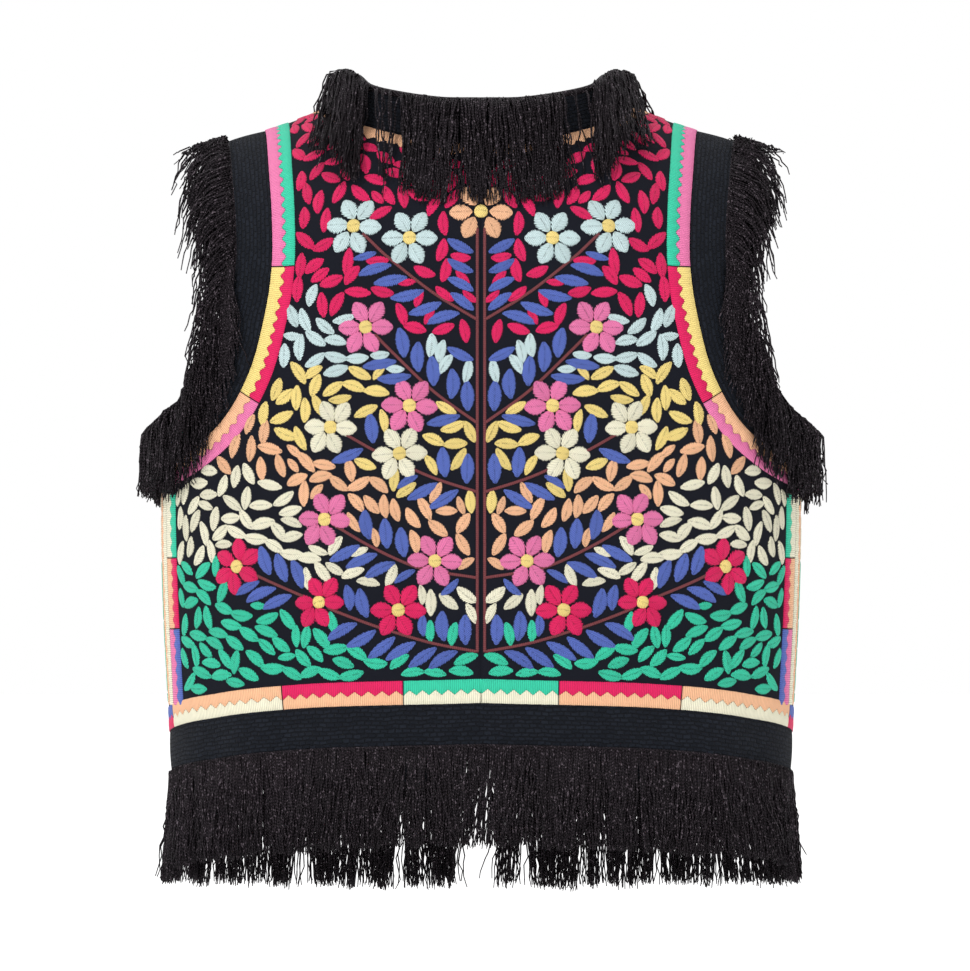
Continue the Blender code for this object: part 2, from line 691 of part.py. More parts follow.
def build():
    for item in list(bpy.data.objects):
        bpy.data.objects.remove(item)

    down_back, up_front = armhole_curve()
    back = back_places(down_back)
    front = front_places(up_front)
    armhole = armhole_band_grid(down_back, up_front)
    locks = 0

    for side, label in ((1, "right"), (-1, "left")):
        add_panel("back_" + label, mirrored(back, side))
        add_panel("front_" + label, mirrored(front, side))
        places = mirrored(armhole, side)
        outer, inner = band_walls(places, closed=True)
        add_piece("armhole_band_" + label, *wall(outer, inner, closed=True), "navy_band_cloth")
        away = unit(outer[:, 2] - outer[:, 1])
        corners = header_corners(outer[:, 2], inner[:, 2], away)
        locks += add_fringe("armhole_fringe_" + label, corners, "armhole", 1,
                            armhole_heading, armhole_fall, closed=True)

    back_angles = np.concatenate([-back[::-1, 0, 0], back[1:, 0, 0]])
    back_angles[len(back) - 1] = 0.0
    front_angles = front[:, 0, 0]
    hem_runs = (("back", back_angles), ("front_right", front_angles[::-1]), ("front_left", -front_angles))
    for label, angles in hem_runs:
        outer, inner = band_walls(hem_band_grid(angles))
        if label != "back":
            edge = int(np.argmax(np.abs(angles)))
            for points in (outer, inner):
                points[edge, 1, 0] = math.copysign(front_edge_x(points[edge, 1, 2]), points[edge, 1, 0])
        add_piece("hem_band_" + label, *wall(outer, inner), "navy_band_cloth")
        corners = header_corners(outer[:, 1], inner[:, 1], np.tile(DOWN, (len(outer), 1)))
        locks += add_fringe("hem_fringe_" + label, corners, "hem", 2, hem_heading, hem_fall)

    neck_right = np.concatenate([back[:BACK_NECK_COLUMNS + 1, -1], front[FRONT_NECK_COLUMNS - 1::-1, -1]])
    neck_right[0, 0] = 0.0
    neck_left = mirrored(neck_right, -1)
    neck_places = np.concatenate([neck_left[:0:-1], neck_right])
    outer, inner = stand_walls(neck_places)
    add_piece("neck_stand", *wall(outer, inner), "navy_band_cloth")
    up = unit(outer[:, 2] - outer[:, 1])
    corners = header_corners(outer[:, 2], inner[:, 2], up)
    locks += add_fringe("neck_fringe", corners, "neck", 1, neck_heading, neck_fall)
    print("locks in all:", locks)


build()
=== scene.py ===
# %% [markdown]
# # An embroidered folk vest
# A sleeveless vest, seen from the back as if somebody wore it. Its dark cloth is covered with leaves and
# flowers in satin stitch, navy bands finish the armholes and the hem, and a fringe of dark yarn hangs
# from the neck, the armholes and the hem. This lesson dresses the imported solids: each cloth piece becomes
# a fine shell on the same form, and the embroidery and the yarn are laid over it.

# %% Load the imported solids
import math

import bpy
import numpy as np
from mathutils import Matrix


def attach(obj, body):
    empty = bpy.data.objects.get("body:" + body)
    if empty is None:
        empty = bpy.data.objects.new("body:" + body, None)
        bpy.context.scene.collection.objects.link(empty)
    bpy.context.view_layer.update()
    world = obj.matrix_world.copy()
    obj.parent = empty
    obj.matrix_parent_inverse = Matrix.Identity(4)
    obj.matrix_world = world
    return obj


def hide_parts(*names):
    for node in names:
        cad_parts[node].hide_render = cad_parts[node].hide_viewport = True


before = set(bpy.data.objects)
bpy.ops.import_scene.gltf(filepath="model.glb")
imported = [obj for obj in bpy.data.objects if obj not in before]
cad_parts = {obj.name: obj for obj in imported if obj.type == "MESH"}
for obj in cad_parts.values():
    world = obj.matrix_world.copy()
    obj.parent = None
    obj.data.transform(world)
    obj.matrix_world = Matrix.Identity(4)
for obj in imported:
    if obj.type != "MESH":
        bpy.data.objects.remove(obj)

bpy.ops.object.select_all(action="DESELECT")
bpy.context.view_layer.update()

# %% [markdown]
# ## Sizes of the cut
# A maker starts with a pattern: how wide the trunk is at each height, where the shoulder line runs, and
# how the neck, the armholes and the hem are cut. These are the numbers that the solids were made from, so
# every piece made here lands where its solid is. Lengths are metres. Angles are degrees round the body,
# with 0 at the centre back, 90 at the right side and 180 at the centre front.

# %% Sizes of the cut
CLOTH = 0.0020            # thickness of the embroidered cloth
BAND_CLOTH = 0.0022       # thickness of the navy bands
DOME_HEIGHT = 0.110       # the shoulders' dome, and the way down the cloth over it
DOME_ARC = 0.160
FLATNESS = 0.25           # how much fuller than an ellipse the trunk is at its corners

# height under the shoulder line, half width, depth of the back, depth of the front
TRUNK = np.array([
    (0.00, 0.2120, 0.100, 0.088), (0.06, 0.2120, 0.105, 0.098), (0.12, 0.2120, 0.110, 0.111),
    (0.18, 0.2125, 0.111, 0.118), (0.24, 0.2130, 0.108, 0.117), (0.30, 0.2115, 0.104, 0.112),
    (0.36, 0.2085, 0.102, 0.109), (0.42, 0.2060, 0.104, 0.109), (0.52, 0.2050, 0.106, 0.110)])
# distance from the centre, height
SHOULDER = np.array([(0.0, 0.0290), (0.060, 0.0235), (0.105, 0.0125), (0.129, 0.0035),
                     (0.146, -0.0020), (0.171, -0.0090), (0.215, -0.0220)])
# angle, half width in degrees, depth, height of the top and of the bottom
FOLDS = (
    (-38.0, 6.0, 0.0045, -0.190, -0.520), (-58.0, 5.0, 0.0028, -0.230, -0.520),
    (-14.0, 5.5, 0.0016, -0.260, -0.520), (16.0, 5.0, 0.0018, -0.270, -0.520),
    (35.0, 6.0, 0.0042, -0.200, -0.520), (60.0, 5.0, 0.0026, -0.240, -0.520),
    (-128.0, 8.0, 0.0040, -0.200, -0.520), (-155.0, 6.0, 0.0022, -0.240, -0.520),
    (124.0, 8.0, 0.0042, -0.190, -0.520), (151.0, 6.0, 0.0024, -0.230, -0.520))
SIDE_SEAM = 78.0          # angle
NECK_HALF_WIDTH = 0.105
FRONT_EDGE_X = 0.0022     # half the gap between the fronts, which widens by the flare below this height
FRONT_FLARE = 0.0075
FLARE_START = -0.300
# distance from the centre, height
NECK_BACK = ((0.0, -0.0140), (0.030, -0.0125), (0.060, -0.0060), (0.085, 0.0025))
NECK_FRONT = ((0.0, -0.0780), (0.030, -0.0710), (0.060, -0.0520), (0.084, -0.0240))
SHOULDER_TIP_X = 0.1450
# angle, height of the seam between a panel and its armhole band
ARMHOLE = ((41.4, -0.030), (40.4, -0.063), (40.3, -0.095), (42.2, -0.130), (46.2, -0.167), (53.0, -0.195),
           (63.0, -0.213), (78.0, -0.2235), (95.0, -0.2260), (110.0, -0.2220), (123.0, -0.2080),
           (133.0, -0.1830), (139.5, -0.1480), (142.6, -0.1100), (142.4, -0.0700), (139.6, -0.0300))
# angle, height of the seam between a panel and its hem band
HEM = np.array([(0, -0.3800), (39, -0.3850), (62, -0.3925), (78, -0.3985),
                (92, -0.4035), (115, -0.4085), (145, -0.4130), (180, -0.4160)])
ARMHOLE_BAND = 0.0270     # widths of the bands and of the neck stand
HEM_BAND = 0.0260
STAND = 0.0260
STAND_INSET = 0.0008      # how far inside the neckline the stand is sewn, and how far its top leans in
STAND_LEAN = 0.0040
STAND_LEAN_AT_SIDE = 0.0110
STAND_LOWER_AT_SIDE = 0.28
HEADER = 0.0042           # width of the tape that holds a fringe
FINER = 4                 # how many times finer than the solids the cloth is drawn
SIDE_ROWS = 9 * FINER
ARMHOLE_ROWS = 10 * FINER
BACK_NECK, BACK_SHOULDER = 6 * FINER, 4 * FINER
FRONT_NECK, FRONT_SHOULDER = 8 * FINER, 5 * FINER
UP = np.array([0.0, 0.0, 1.0])

# %% [markdown]
# ## The hollow form
# The vest keeps the shape of a body that isn't there. A tailor would pull it over a dress form. Here the
# form is a formula: a dome over the shoulders runs into a trunk, and soft troughs are pressed into it
# where the cloth falls in folds. A place on the form is an angle and a drop, the way down the cloth
# from the shoulder line. Working in these two numbers lets everything follow the cloth, folds included.

# %% The hollow form
def smooth(keys, values):
    """A smooth curve through a table, as a function of its first column."""
    keys, values = np.asarray(keys, float), np.asarray(values, float)
    slopes = np.gradient(values, keys)

    def read(at):
        at = np.clip(np.asarray(at, float), keys[0], keys[-1])
        row = np.clip(np.searchsorted(keys, at, side="right") - 1, 0, len(keys) - 2)
        step = keys[row + 1] - keys[row]
        t = (at - keys[row]) / step
        return ((2 * t**3 - 3 * t**2 + 1) * values[row] + (t**3 - 2 * t**2 + t) * step * slopes[row]
                + (3 * t**2 - 2 * t**3) * values[row + 1] + (t**3 - t**2) * step * slopes[row + 1])

    return read


half_width = smooth(TRUNK[:, 0], TRUNK[:, 1])
back_depth = smooth(TRUNK[:, 0], TRUNK[:, 2])
front_depth = smooth(TRUNK[:, 0], TRUNK[:, 3])
shoulder_height = smooth(SHOULDER[:, 0], SHOULDER[:, 1])
hem_height = smooth(HEM[:, 0], HEM[:, 1])


def fold_depth(angle, height):
    """How deep the folds press the cloth in at an angle and a height."""
    total = np.zeros(np.broadcast(angle, height).shape)
    for centre, spread, depth, top, bottom in FOLDS:
        along = np.clip((top - height) / (top - bottom), 0.0, 1.0)
        total = total + depth * np.exp(-((angle - centre) / spread) ** 2) * np.sin(along * math.pi / 2) ** 1.5
    return total


def form(angle, drop):
    """The point of the form at an angle and a drop."""
    angle, drop = np.asarray(angle, float), np.asarray(drop, float)
    turn = np.clip(drop / DOME_ARC, 0.0, 1.0) * math.pi / 2
    height = DOME_HEIGHT * (1 - np.cos(turn)) + np.clip(drop - DOME_ARC, 0.0, None)
    side = np.sin(np.radians(angle))
    towards_back = np.cos(np.radians(angle)) * (1 + FLATNESS * side**2)
    depth = np.where(towards_back > 0, back_depth(height), front_depth(height)) * np.sin(turn)
    x = half_width(height) * side
    z = shoulder_height(np.abs(x)) - height
    y = -depth * towards_back
    pressed = 1 - fold_depth(angle, z) / np.maximum(np.hypot(x, y), 0.05)
    return np.stack([x * pressed, y * pressed, z], axis=-1)


def unit(vectors):
    return vectors / np.maximum(np.linalg.norm(vectors, axis=-1, keepdims=True), 1e-12)


def slopes_at(angle, drop):
    """How the form moves for one degree and for one metre of drop."""
    low = np.maximum(np.asarray(drop, float) - 0.0002, 0.0)
    by_angle = (form(np.asarray(angle) + 0.05, drop) - form(np.asarray(angle) - 0.05, drop)) / 0.1
    by_drop = (form(angle, low + 0.0004) - form(angle, low)) / 0.0004
    return by_angle, by_drop


def outward(angle, drop):
    """The way straight off the cloth."""
    drop = np.asarray(drop, float)
    low = np.maximum(drop - 0.0001, 0.0)
    round_body = form(np.asarray(angle) + 0.05, drop) - form(np.asarray(angle) - 0.05, drop)
    return unit(np.cross(form(angle, low + 0.0002) - form(angle, low), round_body))


def drop_at(angle, z):
    """The drop at which the cloth has come down to a height."""
    x = np.abs(half_width(-np.asarray(z)) * np.sin(np.radians(np.asarray(angle, float))))
    height = np.maximum(shoulder_height(x) - z, 0.0)
    turn = np.arccos(np.clip(1 - height / DOME_HEIGHT, 0.0, 1.0))
    return np.where(height < DOME_HEIGHT, turn / (math.pi / 2) * DOME_ARC, DOME_ARC + height - DOME_HEIGHT)


def place_at(x, z, front=False):
    """The place whose point is seen at x and z."""
    angle = math.degrees(math.asin(x / float(half_width(max(-z, 0.0)))))
    angle = 180.0 - angle if front else angle
    return (angle, float(drop_at(angle, z)))


all_round = form(np.linspace(-180, 180, 721), 0.4)
print("the form is", round(float(np.ptp(all_round[:, 0])) * 1000), "mm wide")

# %% [markdown]
# ## The pattern pieces
# The vest is cut as two backs and two fronts. Each is drawn as a grid of places that fills four edges:
# hem, side with armhole, neck with shoulder, and centre. A grid is used because its rows and columns then
# run like the threads of the cloth.

# %% The pattern pieces
def evenly(fine, count):
    """Evenly spaced places on a finely drawn stretch."""
    points = form(fine[:, 0], fine[:, 1])
    length = np.concatenate([[0.0], np.cumsum(np.linalg.norm(np.diff(points, axis=0), axis=1))])
    at = np.linspace(0.0, length[-1], count + 1)
    return np.stack([np.interp(at, length, fine[:, 0]), np.interp(at, length, fine[:, 1])], axis=-1)


def path_through(places, count):
    """Evenly spaced places on a smooth curve through a few."""
    places = np.asarray(places, float)
    stations = np.cumsum([0.0] + [
        float(np.linalg.norm(form(*b) - form(*a))) for a, b in zip(places[:-1], places[1:])])
    fine = np.linspace(0.0, stations[-1], 400)
    return evenly(np.stack([smooth(stations, places[:, 0])(fine), smooth(stations, places[:, 1])(fine)],
                           axis=-1), count)


def armhole_curve():
    """The armhole seam: down the back to the underarm, and up the front."""
    tip = place_at(SHOULDER_TIP_X, float(shoulder_height(SHOULDER_TIP_X)))
    places = [(tip[0], 0.0)] + [(angle, float(drop_at(angle, z))) for angle, z in ARMHOLE]
    places.append((180.0 - tip[0], 0.0))
    under = [row[0] for row in ARMHOLE].index(SIDE_SEAM) + 1
    ring = path_through(places, 200)
    split = int(np.argmin(np.linalg.norm(form(ring[:, 0], ring[:, 1]) - form(*places[under]), axis=1)))
    down_back, up_front = evenly(ring[: split + 1], ARMHOLE_ROWS), evenly(ring[split:], ARMHOLE_ROWS)
    down_back[-1, 0] = SIDE_SEAM
    up_front[0] = down_back[-1]
    return down_back, up_front


def neck_curve(front):
    start = FRONT_EDGE_X if front else 0.0
    places = [place_at(max(x, start), z, front) for x, z in (NECK_FRONT if front else NECK_BACK)]
    corner = place_at(NECK_HALF_WIDTH, float(shoulder_height(NECK_HALF_WIDTH)), front)
    return path_through(places + [(corner[0], 0.0)], FRONT_NECK if front else BACK_NECK)


def front_edge_x(z):
    return FRONT_EDGE_X + FRONT_FLARE * np.clip((FLARE_START - z) / (FLARE_START - HEM[-1, 1]), 0.0, 1.6) ** 2


def front_edge_angle(z):
    return 180.0 - np.degrees(np.arcsin(front_edge_x(z) / half_width(np.maximum(-z, 0.0))))


def line(start, end, count):
    return np.linspace(np.asarray(start, float), np.asarray(end, float), count + 1)


def patch(bottom, right, top, left):
    """A grid of places between four edges; neckline and hem bend only the rows near them."""
    s = np.linspace(0.0, 1.0, len(bottom))[:, None, None]
    t = np.linspace(0.0, 1.0, len(left))[None, :, None]
    top_bow = top[:, None] - ((1 - s) * top[0] + s * top[-1])
    bottom_bow = bottom[:, None] - ((1 - s) * bottom[0] + s * bottom[-1])
    near_top = np.clip((t - 0.5) / 0.5, 0.0, 1.0) ** 1.8
    return (1 - s) * left[None] + s * right[None] + near_top * top_bow + (1 - t) ** 3 * bottom_bow


def panel_places(front, armhole):
    """The right half of the back or front, columns from the centre out, rows from the hem up."""
    neck = neck_curve(front)
    tip = armhole[-1].copy() if front else armhole[0].copy()
    tip[1] = 0.0
    if front:
        start = float(front_edge_angle(HEM[-1, 1]))
    else:
        start = neck[0, 0] = 0.0
    top = np.concatenate([neck, line(neck[-1], tip, FRONT_SHOULDER if front else BACK_SHOULDER)[1:]])
    hem_angles = np.linspace(start, SIDE_SEAM, len(top))
    bottom = np.stack([hem_angles, drop_at(hem_angles, hem_height(hem_angles))], axis=-1)
    under = armhole[0] if front else armhole[-1]
    side = line(bottom[-1], (SIDE_SEAM, under[1]), SIDE_ROWS)
    right = np.concatenate([side, (armhole if front else armhole[::-1])[1:]])
    right[-1] = tip
    if front:
        heights = np.linspace(HEM[-1, 1], NECK_FRONT[0][1], SIDE_ROWS + ARMHOLE_ROWS + 1)
        left = np.stack([front_edge_angle(heights), drop_at(front_edge_angle(heights), heights)], axis=-1)
        left[0], left[-1] = bottom[0], neck[0]
    else:
        left = line(bottom[0], neck[0], SIDE_ROWS + ARMHOLE_ROWS)
    return patch(bottom, right, top, left)


DOWN_BACK, UP_FRONT = armhole_curve()
BACK = panel_places(False, DOWN_BACK)
FRONT = panel_places(True, UP_FRONT)
print("grid of a back:", BACK.shape[:2], "grid of a front:", FRONT.shape[:2])

# %% [markdown]
# ## Turning grids into cloth
# Cloth has two faces and a cut edge. The helper lays the outer face on the form, the inner face one cloth
# thickness inside it, and closes the edge between them. It also writes a UV map in metres, so that a
# weave or a stitch drawn on the map has its true size on the cloth.

# %% Turning grids into cloth
def grid_quads(rows, columns, closed=False):
    i = np.arange(rows if closed else rows - 1)[:, None] * columns
    above = (i + columns) % (rows * columns)
    j = np.arange(columns - 1)[None, :]
    return np.stack(np.broadcast_arrays(i + j, above + j, above + j + 1, i + j + 1), axis=-1).reshape(-1, 4)


def shell(outer, inner, closed=False):
    """Points and faces of the wall between two equal grids."""
    rows, columns = outer.shape[:2]
    far = rows * columns
    top = grid_quads(rows, columns, closed)
    faces = [top, top[:, ::-1] + far]
    i = np.arange(rows if closed else rows - 1) * columns
    above = (i + columns) % far
    faces.append(np.stack([i, i + far, above + far, above], axis=-1))
    last = columns - 1
    faces.append(np.stack([above + last, above + last + far, i + last + far, i + last], axis=-1))
    if not closed:
        j = np.arange(columns - 1)
        faces.append(np.stack([j + 1, j + 1 + far, j + far, j], axis=-1))
        end = j + (rows - 1) * columns
        faces.append(np.stack([end, end + far, end + 1 + far, end + 1], axis=-1))
    return np.concatenate([outer.reshape(-1, 3), inner.reshape(-1, 3)]), np.concatenate(faces)


def enclosed_volume(points, faces):
    a, b, c, d = (points[faces[:, k]] for k in (0, 1, 2, 3 if faces.shape[1] == 4 else 2))
    return float(np.sum(a * np.cross(b, c)) + np.sum(a * np.cross(c, d))) / 6.0


def add_piece(name, points, faces, uv, finish, marks=None, wrap=None, sharp=50):
    """A mesh of quads or of triangles as an object at the origin.

    Marks are numbers for each point that the finish reads, wrap is the length of a ring's UV map, and
    edges turned by more than sharp degrees stay crisp.
    """
    mesh = bpy.data.meshes.new(name)
    mesh.from_pydata(np.ascontiguousarray(points, dtype=np.float32), [], np.ascontiguousarray(faces))
    corners = uv[faces]
    if wrap is not None:
        crossing = np.ptp(corners[..., 0], axis=1) > wrap / 2
        corners[..., 0] += np.where(crossing[:, None] & (corners[..., 0] < wrap / 2), wrap, 0.0)
    layer = mesh.uv_layers.new(name="Metres")
    layer.data.foreach_set("uv", corners.reshape(-1).astype(np.float32))
    for label, values in (marks or {}).items():
        attribute = mesh.attributes.new(label, "FLOAT", "POINT")
        attribute.data.foreach_set("value", values.astype(np.float32))
    mesh.shade_smooth()
    if sharp:
        mesh.set_sharp_from_angle(angle=math.radians(sharp))
    mesh.materials.append(finish)
    piece = bpy.data.objects.new(name, mesh)
    bpy.context.scene.collection.objects.link(piece)
    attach(piece, "root")
    triangles = len(faces) * (faces.shape[1] - 2)
    print(f"{name}: {triangles} triangles")
    return piece


def mirrored(places, side):
    """The same places on the right, side 1, or on the left, side -1."""
    places = np.array(places, float)
    places[..., 0] *= side
    return places


def along_rows(points):
    """Distance along the middle column of a grid, row by row."""
    middle = points[:, points.shape[1] // 2]
    return np.concatenate([[0.0], np.cumsum(np.linalg.norm(np.diff(middle, axis=0), axis=1))])


def area_of(points):
    """Area of a grid of points."""
    a = points[1:, 1:] - points[:-1, :-1]
    b = points[1:, :-1] - points[:-1, 1:]
    return float(np.linalg.norm(np.cross(a, b), axis=-1).sum() / 2)

# %% [markdown]
# ## The ground cloth
# The backs and fronts are cut from a blue-black cotton twill. Twill shows fine slanting ribs, takes the
# light softly, and is never one flat tone. The finish uses a slanting wave for the ribs, a second finer
# wave for single threads, and a slow noise for the uneven dye.

# %% Helpers for finishes
def new_finish(name, roughness, sheen=0.0, specular=0.4):
    made = bpy.data.materials.new(name)
    made.use_nodes = True
    surface = made.node_tree.nodes["Principled BSDF"]
    surface.inputs["Roughness"].default_value = roughness
    surface.inputs["Sheen Weight"].default_value = sheen
    surface.inputs["Specular IOR Level"].default_value = specular
    return made, surface


def add_node(made, kind, settings=None, **values):
    """One node with its settings; values go to its sockets, and a socket as a value makes a link."""
    node = made.node_tree.nodes.new(kind)
    for key, value in (settings or {}).items():
        setattr(node, key, value)
    for key, value in values.items():
        key = int(key[1:]) if key[0] == "_" else key.replace("_", " ")
        if isinstance(value, bpy.types.NodeSocket):
            made.node_tree.links.new(value, node.inputs[key])
        else:
            node.inputs[key].default_value = value
    return node


def mix_colour(made, factor, first, second):
    """Colours may be sockets or four numbers."""
    node = add_node(made, "ShaderNodeMix", {"data_type": "RGBA"})
    for socket, value in ((node.inputs[0], factor), (node.inputs[6], first), (node.inputs[7], second)):
        if isinstance(value, bpy.types.NodeSocket):
            made.node_tree.links.new(value, socket)
        else:
            socket.default_value = value
    return node.outputs[2]


def calculate(made, operation, *values):
    node = add_node(made, "ShaderNodeMath", {"operation": operation})
    for socket, value in zip(node.inputs, values):
        if isinstance(value, bpy.types.NodeSocket):
            made.node_tree.links.new(value, socket)
        else:
            socket.default_value = value
    return node.outputs[0]


def stripes(made, distance, pitch, distortion=0.0):
    """A wave of the given pitch in metres along a distance in metres."""
    place = add_node(made, "ShaderNodeCombineXYZ", X=distance)
    wave = add_node(made, "ShaderNodeTexWave", {"wave_type": "BANDS", "bands_direction": "X"},
                    Vector=place.outputs[0], Scale=math.pi / 10 / pitch, Distortion=distortion,
                    Detail=1.0, Detail_Scale=0.6)
    return wave.outputs["Fac"]


def finish_surface(made, surface, colour, height, relief, strength):
    """Joins colour and relief, in metres, to the surface."""
    bump = add_node(made, "ShaderNodeBump", Strength=strength, Distance=relief, Height=height)
    made.node_tree.links.new(colour, surface.inputs["Base Color"])
    made.node_tree.links.new(bump.outputs[0], surface.inputs["Normal"])


# %% The twill
TWILL_DARK = (0.0048, 0.0054, 0.0092, 1)


def twill():
    made, surface = new_finish("blue_black_twill", 0.88, sheen=0.01, specular=0.10)
    uv = add_node(made, "ShaderNodeUVMap", {"uv_map": "Metres"}).outputs[0]
    parts = add_node(made, "ShaderNodeSeparateXYZ", Vector=uv)
    across, down = parts.outputs[0], parts.outputs[1]
    ribs = stripes(made, calculate(made, "ADD", across, down), 0.0011)
    threads = stripes(made, across, 0.00055)
    ribbed, fine = calculate(made, "MULTIPLY", ribs, 0.7), calculate(made, "MULTIPLY", threads, 0.3)
    cloth = calculate(made, "ADD", ribbed, fine)
    spot = add_node(made, "ShaderNodeTexCoord").outputs["Object"]
    dye = add_node(made, "ShaderNodeTexNoise", Vector=spot, Scale=22.0, Detail=3.0).outputs["Fac"]
    tone = mix_colour(made, cloth, (0.0022, 0.0026, 0.0048, 1), (0.0088, 0.0098, 0.0165, 1))
    tone = mix_colour(made, calculate(made, "MULTIPLY", dye, 0.45), tone, TWILL_DARK)
    finish_surface(made, surface, tone, cloth, 0.00025, 0.7)
    return made


TWILL = twill()

# %% [markdown]
# ## The backs and fronts
# Each panel is a thin sheet that hangs from the shoulders, so it is made as one: a fine grid on the form
# with the folds in it, two millimetres thick. Its flat size is measured on the grid, the way the
# cutter would lay it on the table.

# %% The backs and fronts
SEAM_ROLL = 0.0008        # how deep an edge rolls into its seam
TRUNK_RADIUS = 0.19       # turns angles into metres on the UV map


def with_rolled_edge(grid):
    """Adds a line of places close to each edge, so that the edge can roll into its seam."""
    for axis in (0, 1):
        grid = np.swapaxes(grid, 0, axis)
        close = np.stack([grid[0] * 0.78 + grid[1] * 0.22, grid[-1] * 0.78 + grid[-2] * 0.22])
        grid = np.concatenate([grid[:1], close[:1], grid[1:-1], close[1:], grid[-1:]])
        grid = np.swapaxes(grid, 0, axis)
    return grid


def sunk_at_seams(shape, neck_columns):
    """How far the cloth rolls in at the centre, side and shoulder seams."""
    sunk = np.zeros(shape[:2])
    sunk[[0, -1], :] = SEAM_ROLL
    sunk[neck_columns + 2:, -1] = SEAM_ROLL
    return sunk


for label, places in (("back", BACK), ("front", FRONT)):
    for side, hand in ((1, "right"), (-1, "left")):
        spots = with_rolled_edge(mirrored(places, side))
        sunk = sunk_at_seams(spots.shape, FRONT_NECK if label == "front" else BACK_NECK)
        out = outward(spots[..., 0], spots[..., 1])
        on_form = form(spots[..., 0], spots[..., 1])
        outer, inner = on_form - sunk[..., None] * out, on_form - CLOTH * out
        points, faces = shell(outer, inner)
        if enclosed_volume(points, faces) < 0:
            faces = faces[:, ::-1]
        uv = np.stack([np.radians(spots[..., 0]) * TRUNK_RADIUS, spots[..., 1]], axis=-1).reshape(-1, 2)
        piece = add_piece(f"{label}_{hand}_cloth", points, faces, np.concatenate([uv, uv]), TWILL)
        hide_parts(f"{label}_{hand}")
        width = float(np.linalg.norm(np.diff(outer[:, 0], axis=0), axis=1).sum())
        length = float(spots[..., 1].max() - spots[..., 1].min())
        area = area_of(outer)
        print(f"{label}_{hand}: {width * 1000:.0f} x {length * 1000:.0f} mm, {area * 1e4:.0f} square cm")

# %% [markdown]
# ## The navy bands
# A heavier navy cloth with a small raised waffle edges the armholes, the hem and the neck. On the loom the
# waffle comes from floats that are tied down in staggered rows. A brick pattern, set in metres and a
# little uneven, gives the same staggered dashes as colour and relief.

# %% The waffle cloth
def waffle():
    made, surface = new_finish("navy_waffle", 0.88, sheen=0.01, specular=0.12)
    uv = add_node(made, "ShaderNodeUVMap", {"uv_map": "Metres"}).outputs[0]
    wobble = add_node(made, "ShaderNodeTexNoise", Vector=uv, Scale=110.0, Detail=2.0).outputs["Color"]
    shift = add_node(made, "ShaderNodeVectorMath", {"operation": "SCALE"}, Vector=wobble, Scale=0.0034)
    place = add_node(made, "ShaderNodeVectorMath", {"operation": "ADD"}, _0=uv, _1=shift.outputs[0])
    brick = add_node(made, "ShaderNodeTexBrick", {"offset": 0.5}, Vector=place.outputs[0], Scale=1.0,
                     Brick_Width=0.0050, Row_Height=0.0028, Mortar_Size=0.00075, Mortar_Smooth=1.0,
                     Color1=(0.0052, 0.0068, 0.0112, 1), Color2=(0.0108, 0.0136, 0.0208, 1),
                     Mortar=(0.0036, 0.0046, 0.0078, 1))
    parts = add_node(made, "ShaderNodeSeparateXYZ", Vector=uv)
    threads = stripes(made, parts.outputs[0], 0.0006)
    raised = calculate(made, "SUBTRACT", 1.0, brick.outputs["Fac"])
    height = calculate(made, "ADD", raised, calculate(made, "MULTIPLY", threads, 0.18))
    tone = mix_colour(made, calculate(made, "MULTIPLY", threads, 0.35), brick.outputs["Color"],
                      (0.0030, 0.0040, 0.0070, 1))
    finish_surface(made, surface, tone, height, 0.0012, 1.0)
    return made


WAFFLE = waffle()

# %% Helpers for the bands
BAND_LINES = 7            # lines of places across a band
BAND_ROLL = 0.0006        # how far a band plumps up between its edges


def sideways(places, closed_ends=False):
    """Unit steps across a route of places, in angle and drop for each metre."""
    along = np.gradient(places, axis=0)
    by_angle, by_drop = slopes_at(places[:, 0], places[:, 1])
    aa, ad, dd = (np.sum(p * q, axis=1) for p, q in
                  ((by_angle, by_angle), (by_angle, by_drop), (by_drop, by_drop)))
    size = np.sqrt(aa * dd - ad**2)
    lower_a = aa * along[:, 0] + ad * along[:, 1]
    lower_d = ad * along[:, 0] + dd * along[:, 1]
    length = np.sqrt(along[:, 0] * lower_a + along[:, 1] * lower_d)
    across = np.stack([lower_d, -lower_a], axis=-1) / (size * length)[:, None]
    if closed_ends:
        for end in (0, -1):
            across[end] = (math.copysign(1.0 / math.sqrt(aa[end]), across[end, 0]), 0.0)
    return across


ARMHOLE_RING = np.concatenate([DOWN_BACK, UP_FRONT[1:]])
ARMHOLE_ACROSS = sideways(ARMHOLE_RING, closed_ends=True)
if ARMHOLE_ACROSS[0, 0] < 0:
    ARMHOLE_ACROSS = -ARMHOLE_ACROSS


def band_walls(places):
    """Outer and inner face of a band."""
    out = outward(places[..., 0], places[..., 1])
    across = np.linspace(-1.0, 1.0, places.shape[1])[None, :, None]
    roll = BAND_ROLL * (1 - across**2)
    outer = form(places[..., 0], places[..., 1]) + roll * out
    return outer, outer - (BAND_CLOTH + roll) * out


def add_band(name, node, outer, inner, closed=False):
    """A band from its two faces, as one thin shell."""
    stations = along_rows(outer)
    total = float(stations[-1] + (np.linalg.norm(outer[0, 1] - outer[-1, 1]) if closed else 0.0))
    width = np.concatenate([[0.0], np.cumsum(np.linalg.norm(np.diff(outer[0], axis=0), axis=1))])
    points, faces = shell(outer, inner, closed)
    if enclosed_volume(points, faces) < 0:
        faces = faces[:, ::-1]
    uv = np.stack(np.broadcast_arrays(stations[:, None], width[None, :]), axis=-1).reshape(-1, 2)
    wrap = total if closed else None
    piece = add_piece(name, points, faces, np.concatenate([uv, uv]), WAFFLE, wrap=wrap)
    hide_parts(node)
    print(f"{name}: {total * 1000:.0f} x {width[-1] * 1000:.0f} mm")


